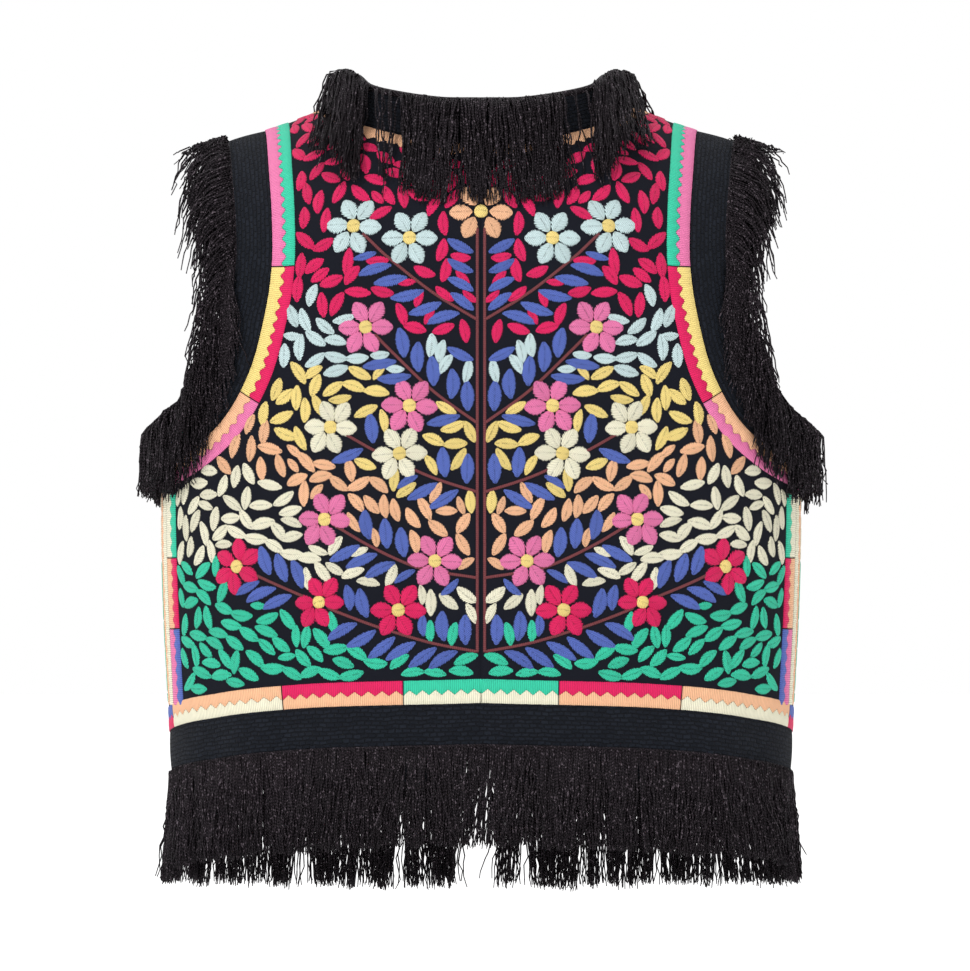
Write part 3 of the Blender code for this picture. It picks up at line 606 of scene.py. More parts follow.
# %% Bands round the armholes
EDGES = {}
widths = np.linspace(0.0, ARMHOLE_BAND, BAND_LINES)
ring = np.stack([ARMHOLE_RING + width * ARMHOLE_ACROSS for width in widths], axis=1)
for side, hand in ((1, "right"), (-1, "left")):
    outer, inner = band_walls(mirrored(ring, side))
    add_band(f"armhole_band_{hand}_cloth", f"armhole_band_{hand}", outer[:-1], inner[:-1],
             closed=True)
    EDGES["armhole", hand] = (outer[:-1, -1], inner[:-1, -1], unit(outer[:-1, -1] - outer[:-1, -2]))

# %% Bands along the hem
back_angles = np.concatenate([-BACK[::-1, 0, 0], BACK[1:, 0, 0]])
back_angles[len(BACK) - 1] = 0.0
front_angles = FRONT[:, 0, 0]
hems = {"back": back_angles, "front_right": front_angles[::-1], "front_left": -front_angles}
for label, angles in hems.items():
    steps = np.linspace(0.0, HEM_BAND, BAND_LINES)
    heights = hem_height(np.abs(angles))
    lines = [np.stack([angles, drop_at(angles, heights - step)], axis=-1) for step in steps]
    outer, inner = band_walls(np.stack(lines, axis=1))
    if label != "back":
        edge = int(np.argmax(np.abs(angles)))
        for points in (outer, inner):
            points[edge, :, 0] = np.copysign(front_edge_x(points[edge, :, 2]), points[edge, :, 0])
    add_band(f"hem_band_{label}_cloth", f"hem_band_{label}", outer, inner)
    EDGES["hem", label] = (outer[:, -1], inner[:, -1], np.tile(-UP, (len(outer), 1)))

# %% [markdown]
# ## The neck stand
# A band stands up from the neckline and leans in towards the neck. It is lower at the shoulders. The
# fringe is sewn to its top edge and hides most of it.

# %% The neck stand
NECK_MIDDLE = np.array([0.0, -0.005, 0.0])
STAND_FOOT = 0.0026       # how far its foot goes down where the cloth round the neck lies flat

neck_right = np.concatenate([BACK[:BACK_NECK + 1, -1], FRONT[FRONT_NECK - 1::-1, -1]])
neck_right[0, 0] = 0.0
NECKLINE = np.concatenate([mirrored(neck_right, -1)[:0:-1], neck_right])
foot = form(NECKLINE[:, 0], NECKLINE[:, 1])
level = unit(np.gradient(foot, axis=0))
level[:, 2] = 0.0
inward = unit(np.cross(UP, unit(level)))
facing = np.sum(inward * (NECK_MIDDLE - foot), axis=1)
inward = inward * np.where(facing < 0, -1.0, 1.0)[:, None]
at_side = (np.abs(foot[:, 0]) / NECK_HALF_WIDTH) ** 2
top_rise = STAND * (1 - STAND_LOWER_AT_SIDE * at_side)
top_lean = STAND_LEAN + STAND_LEAN_AT_SIDE * at_side
lying_flat = np.clip((outward(NECKLINE[:, 0], NECKLINE[:, 1])[:, 2] - 0.5) / 0.3, 0.0, 1.0)
rows = [foot - (STAND_FOOT * lying_flat)[:, None] * UP + STAND_INSET * inward]
for share in np.linspace(0.02, 1.0, BAND_LINES):
    bow = share * (1.4 - 0.4 * share)
    rows.append(foot + (top_rise * share)[:, None] * UP
                + (STAND_INSET + top_lean * bow)[:, None] * inward)
outer = np.stack(rows, axis=1)
inner = outer + BAND_CLOTH * inward[:, None]
add_band("neck_stand_cloth", "neck_stand", outer, inner)
EDGES["neck", "all"] = (outer[:, -1], inner[:, -1], unit(outer[:, -1] - outer[:, -2]))

# %% [markdown]
# ## Coloured thread
# The embroidery is satin stitch in soft cotton: threads lie side by side and cross the shape from edge to
# edge. In a leaf they meet at the middle rib and slant towards the tip. The finish draws the threads on
# the UV map, where the first number runs along the leaf and the second across it, so each leaf carries its
# own threads. Two numbers are written on every stitched shape: tone makes some shapes a little deeper than
# others, and rim tells where its edge is, so that the dark cloth shows between the ends of the threads.

# %% Coloured thread
THREAD_PITCH = 0.00135
THREAD_SLANT = 0.75       # how far a thread leans along the leaf for each metre off the rib
SHADE = 0.62              # how deep the colour is between two threads


def thread(name, colour):
    made, surface = new_finish(name + "_thread", 0.60, sheen=0.03, specular=0.20)
    uv = add_node(made, "ShaderNodeUVMap", {"uv_map": "Metres"}).outputs[0]
    parts = add_node(made, "ShaderNodeSeparateXYZ", Vector=uv)
    off_rib = calculate(made, "ABSOLUTE", parts.outputs[1])
    lean = calculate(made, "MULTIPLY", off_rib, THREAD_SLANT)
    threads = stripes(made, calculate(made, "SUBTRACT", parts.outputs[0], lean), THREAD_PITCH, 0.9)
    rib = add_node(made, "ShaderNodeMapRange", {"clamp": True}, Value=off_rib,
                   From_Min=0.0001, From_Max=0.0007, To_Min=1.0, To_Max=0.0).outputs[0]
    spot = add_node(made, "ShaderNodeTexCoord").outputs["Object"]
    # painted shade: broken dashes of a much darker thread colour along the sunk middle rib
    rib_dash_noise = add_node(made, "ShaderNodeTexNoise", Vector=spot, Scale=850.0, Detail=1.0).outputs["Fac"]
    rib_shade_dashes = calculate(made, "MULTIPLY", rib, calculate(made, "GREATER_THAN", rib_dash_noise, 0.53))
    worn = add_node(made, "ShaderNodeTexNoise", Vector=spot, Scale=160.0, Detail=3.0).outputs["Fac"]
    tone = add_node(made, "ShaderNodeAttribute", {"attribute_name": "tone"}).outputs["Fac"]
    rim = add_node(made, "ShaderNodeAttribute", {"attribute_name": "rim"}).outputs["Fac"]
    between = calculate(made, "MULTIPLY_ADD", threads, -0.48, rim)
    bare = add_node(made, "ShaderNodeMapRange", {"clamp": True}, Value=between,
                    From_Min=0.20, From_Max=0.38, To_Min=0.0, To_Max=0.92).outputs[0]
    shade = tuple(value * SHADE for value in colour)
    # the colour of the painted shade in the middle rib
    dark = tuple(value * 0.22 for value in colour)
    lit = tuple(min(value * 1.06 + 0.010, 1.0) for value in colour)
    face = mix_colour(made, threads, (*shade, 1), (*colour, 1))
    face = mix_colour(made, calculate(made, "MULTIPLY", worn, 0.40), face, (*lit, 1))
    face = mix_colour(made, calculate(made, "MULTIPLY", tone, 0.45), face, (*shade, 1))
    face = mix_colour(made, calculate(made, "MULTIPLY", rib_shade_dashes, 0.62), face, (*dark, 1))
    face = mix_colour(made, bare, face, TWILL_DARK)
    height = calculate(made, "MULTIPLY_ADD", rib, -0.8, threads)
    finish_surface(made, surface, face, height, 0.0006, 1.0)
    return made


THREAD_COLOURS = {
    "red": (0.770, 0.009, 0.112), "pink": (0.840, 0.195, 0.420), "green": (0.034, 0.610, 0.380),
    "yellow": (0.930, 0.720, 0.240), "peach": (0.950, 0.520, 0.300), "cream": (0.890, 0.850, 0.650),
    "light_blue": (0.600, 0.760, 0.770), "blue": (0.090, 0.145, 0.500), "maroon": (0.185, 0.042, 0.048),
}
THREADS = {name: thread(name, colour) for name, colour in THREAD_COLOURS.items()}

# %% [markdown]
# ## One leaf, one petal, one flower centre
# The vest carries nearly seventeen hundred stitched shapes, but only three kinds. Each is modelled once
# from a small grid or sphere: the inner rows are raised so that the shape is padded, the middle row sinks
# back a little where the threads meet, and the rim sinks into the cloth. The outline is then drawn in and given
# small teeth, the ends of the threads. A shape is modelled from -1 to 1 and scaled as it is laid.

# %% One leaf, one petal, one flower centre
STATIONS = 14             # steps along a leaf or petal
RIM = 0.75                # the outer rows of the grid lie beyond this share of the width
SUNK_RIM = -0.35          # depth of the rim in the cloth, as a share of the height


def read_and_remove(shape, name):
    points = np.array([tuple(vertex.co) for vertex in shape.data.vertices])
    faces = np.array([tuple(polygon.vertices) for polygon in shape.data.polygons])
    bpy.data.objects.remove(shape)
    print(name, "has", len(faces) * (faces.shape[1] - 2), "triangles")
    return points, faces


def model_shape(name, outline, tooth):
    """A padded shape from a grid: outline gives its half width along its length, from -1 to 1."""
    bpy.ops.mesh.primitive_grid_add(x_subdivisions=STATIONS, y_subdivisions=4, size=2.0)
    shape = bpy.context.object
    for limit, rise in ((RIM, 1.0), (0.25, -0.22)):
        for vertex in shape.data.vertices:
            vertex.select = abs(vertex.co.y) < limit
        bpy.ops.object.mode_set(mode="EDIT")
        bpy.ops.transform.translate(value=(0.0, 0.0, rise))
        bpy.ops.object.mode_set(mode="OBJECT")
    for vertex in shape.data.vertices:
        x, y = vertex.co.x, vertex.co.y
        rim = abs(y) > RIM
        step = int(round((x + 1) / 2 * STATIONS))
        teeth = 1.0 + (tooth if step % 2 else -tooth) * rim
        end = abs(x) > 0.99
        vertex.co.y = y * outline(x) * teeth * (1.0 if rim else 1.30)
        vertex.co.z = SUNK_RIM if rim or end else vertex.co.z * min(1.0, outline(x) * 1.5)
    return read_and_remove(shape, name)


def leaf_outline(x):
    return max(0.02, (1 - abs(x) ** 2.0) ** 0.85)


def petal_outline(x):
    return max(0.03, (1 - abs(x) ** 1.8) ** 0.84 * (0.98 + 0.12 * x))


def model_centre():
    bpy.ops.mesh.primitive_uv_sphere_add(segments=14, ring_count=8, radius=1.0)
    shape = bpy.context.object
    bpy.ops.object.mode_set(mode="EDIT")
    bpy.ops.mesh.select_all(action="SELECT")
    bpy.ops.mesh.bisect(plane_co=(0, 0, -0.3), plane_no=(0, 0, 1), clear_inner=True, clear_outer=False)
    bpy.ops.mesh.select_all(action="SELECT")
    bpy.ops.mesh.quads_convert_to_tris()
    bpy.ops.object.mode_set(mode="OBJECT")
    return read_and_remove(shape, "flower centre")


LEAF = model_shape("leaf", leaf_outline, 0.060)
PETAL = model_shape("petal", petal_outline, 0.075)
CENTRE = model_centre()

# %% [markdown]
# ## A flat map of the cloth
# An embroiderer draws the design on flat cloth. To do the same, each half of the back or front gets a flat
# map: the first number is the way round the body from the centre, the second the way down the cloth.
# Leaves are set out on this map, and every point of a leaf is then carried to the form.

# %% A flat map of the cloth
MAP_ANGLES = np.linspace(0.0, 180.0, 361)
MAP_DROPS = np.linspace(0.0, 0.56, 57)
drawn = form(MAP_ANGLES[:, None], MAP_DROPS[None, :])
ROUND = np.concatenate([np.zeros((1, len(MAP_DROPS))),
                        np.cumsum(np.linalg.norm(np.diff(drawn, axis=0), axis=-1), axis=0)])


def map_column(drop, front):
    """Way round the body at each of the map's angles, for one drop."""
    at = float(np.clip(drop / (MAP_DROPS[1] - MAP_DROPS[0]), 0, len(MAP_DROPS) - 1.001))
    j = int(at)
    column = ROUND[:, j] * (1 - (at - j)) + ROUND[:, j + 1] * (at - j)
    return column[-1] - column if front else column


def to_flat(place, front):
    return np.array([np.interp(place[0], MAP_ANGLES, map_column(place[1], front)), place[1]])


def from_flat(spot, front):
    column = map_column(spot[1], front)
    if front:
        return np.array([np.interp(spot[0], column[::-1], MAP_ANGLES[::-1]), spot[1]])
    return np.array([np.interp(spot[0], column, MAP_ANGLES), spot[1]])


def seen_at(x, z, front):
    """Flat map position of what is seen at x and z."""
    height = max(float(shoulder_height(abs(x))) - z, 0.0)
    angle = math.degrees(math.asin(min(x / float(half_width(height)), 1.0)))
    turn = math.acos(max(1 - height / DOME_HEIGHT, 0.0)) if height < DOME_HEIGHT else math.pi / 2
    drop = turn / (math.pi / 2) * DOME_ARC if height < DOME_HEIGHT else DOME_ARC + height - DOME_HEIGHT
    return to_flat((180.0 - angle if front else angle, drop), front)


def faces_out(points, faces, out):
    """Faces turned so that they look along the given ways out of the cloth."""
    first, second, third = (points[faces[:, k]] for k in range(3))
    normals = np.cross(second - first, third - first)
    return faces[:, ::-1] if np.sum(normals * out[faces[:, 0]]) < 0 else faces


# %% Copies of a shape on the form
def lay_shapes(shape, records, side, front):
    """A record is a spot, heading, half length, half width, height, tone and bend."""
    template, faces = shape
    places = np.array([from_flat(record[0], front) for record in records])
    by_angle, by_drop = slopes_at(places[:, 0], places[:, 1])
    direction = -1.0 if front else 1.0
    first = unit(by_angle) * direction
    sheared = np.sum(by_drop * first, axis=1)
    second_size = np.linalg.norm(by_drop - sheared[:, None] * first, axis=1)
    headings = np.array([record[1] for record in records])
    half_length, half_wide, height, tone, bend = (
        np.array([record[k] for record in records])[:, None] for k in range(2, 7))
    along = template[None, :, 0] * half_length
    across = template[None, :, 1] * half_wide
    bowed = across + bend * half_length * (1 - template[None, :, 0] ** 2)
    a = along * np.cos(headings)[:, None] - bowed * np.sin(headings)[:, None]
    b = along * np.sin(headings)[:, None] + bowed * np.cos(headings)[:, None]
    d_drop = b / second_size[:, None]
    d_angle = (a - d_drop * sheared[:, None]) / np.linalg.norm(by_angle, axis=1)[:, None] * direction
    angle = (places[:, :1] + d_angle) * side
    drop = places[:, 1:] + d_drop
    out = outward(angle, drop)
    points = form(angle, drop) + out * (template[None, :, 2] * height)[..., None]
    count, size = points.shape[:2]
    faces = (faces[None] + (np.arange(count) * size)[:, None, None]).reshape(-1, faces.shape[1])
    points = points.reshape(-1, 3)
    uv = np.stack([along, across], axis=-1).reshape(-1, 2)
    rim = np.tile((template[:, 2] < -0.25).astype(float), count)
    return points, faces_out(points, faces, out.reshape(-1, 3)), uv, np.repeat(tone, size), rim


SEWN = {}


def sew(name, *stitches):
    """Keeps points, faces, UV, tone and rim until all stitches of one name are joined."""
    SEWN.setdefault(name, []).append(stitches)


# %% [markdown]
# ## The design
# Back and fronts follow one plan, mirrored left and right. A maroon stem runs down beside the centre, and
# five branches sweep up and out from it, each ending at a flower. Blue leaves grow along stem and
# branches. The ground between is filled with sprigs of small leaves whose colour changes with height:
# red, light blue, yellow, peach, cream, green. These are the ordinary flowers and leaves of folk
# embroidery, set out afresh by rule.

# %% The design
# distance from the centre, height, colour, radius
FLOWERS = (
    (0.083, -0.069, "light_blue", 0.0188), (0.0465, -0.077, "light_blue", 0.0182),
    (0.075, -0.135, "pink", 0.0182), (0.0465, -0.186, "pink", 0.0185),
    (0.098, -0.200, "cream", 0.0182), (0.053, -0.217, "cream", 0.0182),
    (0.102, -0.260, "pink", 0.0184), (0.030, -0.287, "pink", 0.0180),
    (0.160, -0.291, "red", 0.0182), (0.106, -0.314, "red", 0.0174), (0.054, -0.319, "red", 0.0184))
TURNED = {(0.160, -0.291): 0.52}      # this flower has a petal straight down
# each branch from the stem to its flower: distance from the centre, height
BRANCHES = (
    ((0.003, -0.130), (0.035, -0.110), (0.060, -0.090), (0.078, -0.073)),
    ((0.003, -0.197), (0.033, -0.175), (0.055, -0.154), (0.071, -0.138)),
    ((0.003, -0.242), (0.036, -0.231), (0.066, -0.217), (0.093, -0.202)),
    ((0.003, -0.298), (0.045, -0.290), (0.073, -0.277), (0.097, -0.263)),
    ((0.003, -0.346), (0.038, -0.339), (0.092, -0.321), (0.125, -0.307), (0.154, -0.293)))
BRANCH_REACH = 0.118      # beyond this distance from the centre the fronts' branches aren't moved
STEM_X, FRONT_STEM_X = 0.0024, 0.0186
STEM_TOP, FRONT_STEM_TOP, STEM_BOTTOM = -0.071, -0.150, -0.3465
STEM_WIDTH = 0.0024
BORDER = 0.0165           # width of the scalloped borders
# colour, and the height of its lower limit at the side and at the centre
ZONES = (("red", -0.098, -0.147), ("light_blue", -0.156, -0.172), ("yellow", -0.198, -0.251),
         ("peach", -0.228, -0.297), ("cream", -0.290, -0.333), ("green", -0.500, -0.500))
LEAF_LENGTH, LEAF_WIDTH = 0.0176, 0.0085
# blue leaves: length and width on the stem, under a branch and over a branch
BLUE = {"stem": (0.0205, 0.0078), "under": (0.0242, 0.0084), "over": (0.0212, 0.0104)}
STEM_LEAVES = (0.0150, 0.0276, 0.0402, 0.0528, 0.0850)    # how far below its top the stem has leaves
FIRST_LEAF = {"under": 0.0095, "over": 0.0080}            # how far from the stem a branch has its first
BRANCH_PITCH = 0.0142
# how far leaves, blue leaves, petals and flower centres stand up, each over what it may overlap
RAISED = {"leaf": 0.0009, "blue": 0.0014, "petal": 0.0016, "centre": 0.0021}


def zone_colour(x, z, chance):
    side = min(abs(x) / 0.15, 1.0) ** 1.5
    for colour, at_edge, at_centre in ZONES:
        if z + chance * 0.004 > at_centre + (at_edge - at_centre) * side:
            return colour
    return "green"


# %% [markdown]
# ## Setting out leaves so that they don't collide
# The embroiderer fills the ground by eye: a new leaf starts at the tip of another, turns left or right,
# and stops before it touches a neighbour. The same is done here. Everything already on the cloth is a row
# of circles, and a new leaf is kept only if its own circles stay clear of them.

# %% Setting out leaves
# room kept free along a border, along the neckline and along a seam without a border
BORDER_ROOM, NECK_ROOM, SEAM_ROOM = BORDER + 0.001, 0.0085, 0.0012


class Ground:
    """One half of the back or of the front, with what is already stitched on it."""

    def __init__(self, front, grid, seed):
        self.front = front
        self.chance = np.random.default_rng(seed)
        self.circles = np.zeros((0, 4))
        self.leaves = []
        self.outline = np.array([to_flat(place, front) for place in np.concatenate([
            grid[:, 0], grid[-1, 1:], grid[::-1, -1][1:], grid[0, ::-1][1:-1]])])
        margins = [(grid[:, 0], BORDER_ROOM), (grid[-1], BORDER_ROOM), (grid[:BACK_NECK, -1], NECK_ROOM),
                   (grid[BACK_NECK:, -1], SEAM_ROOM)]
        if front:
            margins.append((grid[0], BORDER_ROOM))
        for edge, margin in margins:
            self.block([to_flat(place, front) for place in edge], margin)

    def block(self, spots, radius, give=0.0):
        """Takes up room; give is how much of it a leaf may still slip under."""
        spots = np.asarray(spots, float)
        radius = np.broadcast_to(radius, len(spots))
        circles = np.column_stack([spots, radius, np.full(len(spots), give)])
        self.circles = np.concatenate([self.circles, circles])

    def holds(self, spot):
        """Whether a spot lies within the cloth."""
        x, y = spot
        a, b = self.outline, np.roll(self.outline, -1, axis=0)
        crosses = (a[:, 1] > y) != (b[:, 1] > y)
        at = a[:, 0] + (y - a[:, 1]) / np.where(crosses, b[:, 1] - a[:, 1], 1.0) * (b[:, 0] - a[:, 0])
        return bool(np.sum(crosses & (x < at)) % 2)

    def circles_of(self, middle, heading, length, width):
        """A row of seven circles that fills a leaf."""
        shares = np.array([-0.84, -0.56, -0.28, 0.0, 0.28, 0.56, 0.84])
        radii = width / 2 * np.array([0.38, 0.72, 0.94, 1.0, 0.94, 0.72, 0.38])
        way = np.array([math.cos(heading), math.sin(heading)])
        return middle + shares[:, None] * way * length / 2, radii

    def room(self, spots, radii, slack):
        """Whether new circles stay clear of the old ones, but for the slack."""
        away = np.linalg.norm(spots[:, None] - self.circles[None, :, :2], axis=2)
        taken = self.circles[:, 2] - self.circles[:, 3]
        return bool(np.all(away > radii[:, None] + taken[None, :] - slack))

    def try_leaf(self, base, heading, length, width, colour=None, slack=0.0):
        """Adds a leaf from its base if it has room, and says whether it had."""
        way = np.array([math.cos(heading), math.sin(heading)])
        middle = np.asarray(base, float) + way * length / 2
        spots, radii = self.circles_of(middle, heading, length, width)
        if not (self.holds(middle) and self.room(spots[1:], radii[1:], slack)):
            return False
        if not (spots[:, 0] - radii * 0.8 > SEAM_ROOM).all():
            return False
        if colour is None:
            angle, drop = from_flat(middle, self.front)
            x, _, z = form(angle, drop)
            colour = zone_colour(float(x), float(z), float(self.chance.uniform(-1, 1)))
        self.block(spots, radii, 0.0016 if colour == "blue" else 0.0)
        self.leaves.append((middle, heading, length, width, colour, "leaf"))
        return True


# %% Setting out flowers
def add_petals(ground, middle, turns, colour, radius):
    for turn in turns:
        way = radius * np.array([math.cos(turn), math.sin(turn)])
        ground.leaves.append((middle + way * 0.60, turn, radius * 0.88, radius * 0.68, colour, "petal"))
        ground.block([middle + way * 0.45, middle + way * 0.74], radius * 0.27, 0.0009)


def add_flower(ground, x, z, colour, radius, turn):
    """Six petals round a yellow centre, level as seen, if there is room."""
    middle = seen_at(x, z, ground.front)
    across = seen_at(x + 0.004, z, ground.front) - seen_at(x - 0.004, z, ground.front)
    turn += math.atan2(across[1], across[0])
    if ground.holds(middle) and ground.room(middle[None], np.array([radius * 0.80]), 0.0):
        add_petals(ground, middle, turn + np.arange(6) * math.pi / 3, colour, radius)
        ground.block([middle], radius * 0.35)
        ground.leaves.append((middle, 0.0, radius * 0.50, radius * 0.50, "yellow", "centre"))


def add_divided_flower(ground, z, colour, radius):
    """Half of a flower that the centre seam divides; its round centre lies over the seam."""
    add_petals(ground, seen_at(0.0020, z, False), (-1.05, 0.0, 1.05), colour, radius)
    size = radius * 0.50
    ground.leaves.append((seen_at(0.0, z, False), 0.0, size, size, "yellow", "centre over seam"))


# %% Stems and flowers
def route_of(points, front):
    """A smooth route through seen points, as places on the form."""
    places = [from_flat(seen_at(x, z, front), front) for x, z in points]
    return path_through(places, max(8, int(len(points) * 22)))


def stem_and_branches(front):
    """Their routes; on a front they stand further out, to leave the opening edge its border."""
    inset, top = (FRONT_STEM_X, FRONT_STEM_TOP) if front else (STEM_X, STEM_TOP)
    routes = [route_of([(inset, top), (inset, (top + STEM_BOTTOM) / 2), (inset, STEM_BOTTOM)], front)]
    for points in BRANCHES:
        if not front or points[0][1] < top:
            moved = FRONT_STEM_X if front else 0.0
            routes.append(route_of(
                [(x + moved * (BRANCH_REACH - min(x, BRANCH_REACH)) / BRANCH_REACH, z) for x, z in points],
                front))
    return routes


def add_flowers(ground):
    if not ground.front:
        add_divided_flower(ground, -0.0595, "peach", 0.0185)
    for x, z, colour, radius in FLOWERS:
        shift = 0.012 if ground.front else 0.0
        turn = TURNED.get((x, z), 0.0) + float(ground.chance.uniform(-0.06, 0.06))
        add_flower(ground, x + shift, z, colour, radius, turn)


def steps_along(flat):
    return np.concatenate([[0.0], np.cumsum(np.linalg.norm(np.diff(flat, axis=0), axis=1))])


def spots_along(flat, at):
    steps = steps_along(flat)
    return np.stack([np.interp(at, steps, flat[:, 0]), np.interp(at, steps, flat[:, 1])], axis=-1)


# %% Blue leaves
def add_stem_leaves(ground, flat):
    """In pairs along the top of the stem, tips up and out."""
    for drop in flat[:, 1].min() + np.array(STEM_LEAVES):
        base = np.array([np.interp(drop, flat[:, 1], flat[:, 0]) + 0.0021, drop])
        for lean in (0.52, 0.70, 0.35):
            if ground.try_leaf(base, -lean, *BLUE["stem"], "blue", 0.0012):
                break


def add_branch_leaves(ground, flat, kind):
    """Under a branch out and a little down, over it straight up; smaller where there is less room."""
    for at in np.arange(FIRST_LEAF[kind], steps_along(flat)[-1] - 0.002, BRANCH_PITCH):
        here, ahead = spots_along(flat, at), spots_along(flat, at + 0.002)
        way = math.atan2(*(ahead - here)[::-1]) + 0.82 if kind == "under" else -1.60
        for scale in (1.0, 0.86, 0.72):
            heading = way + float(ground.chance.uniform(-0.09, 0.09))
            base = here + 0.0022 * np.array([math.cos(heading), math.sin(heading)])
            length, width = (size * scale for size in BLUE[kind])
            if ground.try_leaf(base, heading, length, width, "blue", 0.0012):
                break


def design(front, grid, seed):
    ground, routes = Ground(front, grid, seed), stem_and_branches(front)
    flats = [np.array([to_flat(place, front) for place in route]) for route in routes]
    add_flowers(ground)
    for flat in flats:
        ground.block(spots_along(flat, np.arange(0.0, steps_along(flat)[-1], 0.0018)), 0.0011, 0.0006)
    add_stem_leaves(ground, flats[0])
    for number, flat in enumerate(flats[1:]):
        for kind in ("under", "over") if number else ("under",):
            add_branch_leaves(ground, flat, kind)
    return ground, routes


# %% Sprigs on the ground between
TRIES, QUICK_TRIES = 16000, 2500


def fill_ground(ground, tries):
    """Sprigs first, from leaf to leaf, and then single leaves wherever there is still room."""
    chance = ground.chance
    low, high = ground.outline.min(axis=0), ground.outline.max(axis=0)
    last = None
    for attempt in range(tries):
        late = attempt / tries
        scale = 1.0 - 0.34 * late * chance.uniform(0.3, 1.0)
        length = LEAF_LENGTH * scale * chance.uniform(0.92, 1.08)
        width = LEAF_WIDTH * scale * chance.uniform(0.94, 1.06)
        if last is None:
            base, headings, slack = chance.uniform(low, high), chance.uniform(0, 2 * math.pi, 4), 0.0009
        else:
            middle, heading, long, *_ = last
            way = np.array([math.cos(heading), math.sin(heading)])
            base = middle + way * long * chance.uniform(0.36, 0.50)
            turns = chance.permutation([0.75, -0.75, 1.15, -1.15, 0.35, -0.35, 1.6, -1.6])
            headings, slack = heading + turns + chance.uniform(-0.15, 0.15), 0.0013
        grown = any(ground.try_leaf(base, float(heading), length, width, slack=slack)
                    for heading in headings)
        last = ground.leaves[-1] if grown else None


GROUNDS = []
for front, grid, seed in ((False, BACK, 11), (True, FRONT, 23)):
    ground, routes = design(front, grid, seed)
    fill_ground(ground, TRIES)
    GROUNDS.append((front, ground, routes))
    kinds = [leaf[5] for leaf in ground.leaves]
    half = "front" if front else "back"
    print(half, "half:", kinds.count("leaf"), "leaves,", kinds.count("centre"), "flowers")

# %% Lay leaves, petals and flower centres on the cloth
for front, ground, routes in GROUNDS:
    wanted = {}
    for middle, heading, length, width, colour, kind in ground.leaves:
        tone = float(ground.chance.uniform(0.0, 1.0)) ** 2
        height = RAISED["blue" if colour == "blue" else kind.split()[0]]
        bend = float(ground.chance.uniform(-0.14, 0.14)) if kind == "leaf" else 0.0
        record = (middle, heading, length / 2, width / 2, height, tone, bend)
        wanted.setdefault((kind, colour), []).append(record)
    for (kind, colour), records in wanted.items():
        shape = {"leaf": LEAF, "petal": PETAL}.get(kind, CENTRE)
        name = {"leaf": f"leaves_{colour}", "petal": f"petals_{colour}"}.get(kind, "flower_centres")
        for side in (1,) if kind == "centre over seam" else (1, -1):
            sew(name, *lay_shapes(shape, records, side, front))

# %% [markdown]
# ## Stems
# The stems are stem stitch: short slanting stitches that overlap like the strands of a rope. Each is a
# narrow raised ribbon along its route, and the slanting threads come from the same thread finish.

# %% A ribbon along a route
OFF_RIB = 0.004           # stitches of a ribbon lie as far off a rib as this, so they show none
SUNK = -0.0003            # the cut edges of a ribbon lie in the cloth


def lay_ribbon(name, route, offsets, heights, side, tone=0.3, turned=1):
    """A ribbon of stitches on the cloth, with one column for each offset in metres."""
    places = mirrored(route, side)
    across = sideways(places) * (turned * side)
    offsets, heights = (np.broadcast_to(np.asarray(values, float), (len(places), np.shape(values)[-1]))
                        for values in (offsets, heights))
    spots = places[:, None] + offsets[..., None] * across[:, None]
    angle, drop = spots[..., 0], np.maximum(spots[..., 1], 0.0)
    out = outward(angle, drop)
    points = form(angle, drop) + out * heights[..., None]
    stations = along_rows(points)[:, None]
    flat = points.reshape(-1, 3)
    faces = faces_out(flat, grid_quads(*points.shape[:2]), out.reshape(-1, 3))
    uv = np.stack(np.broadcast_arrays(stations, offsets * 0.0 + OFF_RIB), axis=-1).reshape(-1, 2)
    sew(name, flat, faces, uv, np.full(len(flat), tone),
        np.select([heights < 0, heights < 0.0002], [1.0, 0.55]).reshape(-1))


# %% Stems
STEM_OFFSETS = STEM_WIDTH / 2 * np.array([-1.0, -0.55, 0.0, 0.55, 1.0])
STEM_RISE = np.array([0.0, 0.0009, 0.0011, 0.0009, 0.0])

for front, ground, routes in GROUNDS:
    centres = [leaf for leaf in ground.leaves if leaf[5].startswith("centre")]
    for route in routes:
        flat = np.array([to_flat(place, front) for place in route])
        # a stem ends under the flower's centre
        away = np.min([np.linalg.norm(flat - middle, axis=1) / length
                       for middle, _, length, *_ in centres], axis=0)
        heights = STEM_RISE * np.where(away < 0.9, 0.0, 1.0)[:, None] + SUNK
        for side in (1, -1):
            lay_ribbon("stems_maroon", route, STEM_OFFSETS, heights, side)

# %% [markdown]
# ## The scalloped borders
# Every edge of a panel has a border of two colours of satin stitch that meet in a wavy line. The colours
# change in blocks. Each block is a pair of raised ribbons, and the line where they meet is drawn by the
# offsets of their shared column.

# %% One block of border
SCALLOP = 0.0080
BORDER_START = 0.0004     # how far from the edge the stitches begin
# how far along a block's width its lines lie, and how high the edge's side stands up there
BORDER_SHARES = np.array([0.0, 0.07, 0.5, 0.93, 1.0])
BORDER_RISE = np.array([SUNK, 0.00055, 0.0007, 0.00055, 0.0001])


def scallop_line(stations, period, kind):
    phase = stations / period
    if kind == "pointed":
        return 1 - 2 * np.abs((phase % 1.0) - 0.5) * 2
    return np.sin(phase * 2 * math.pi)


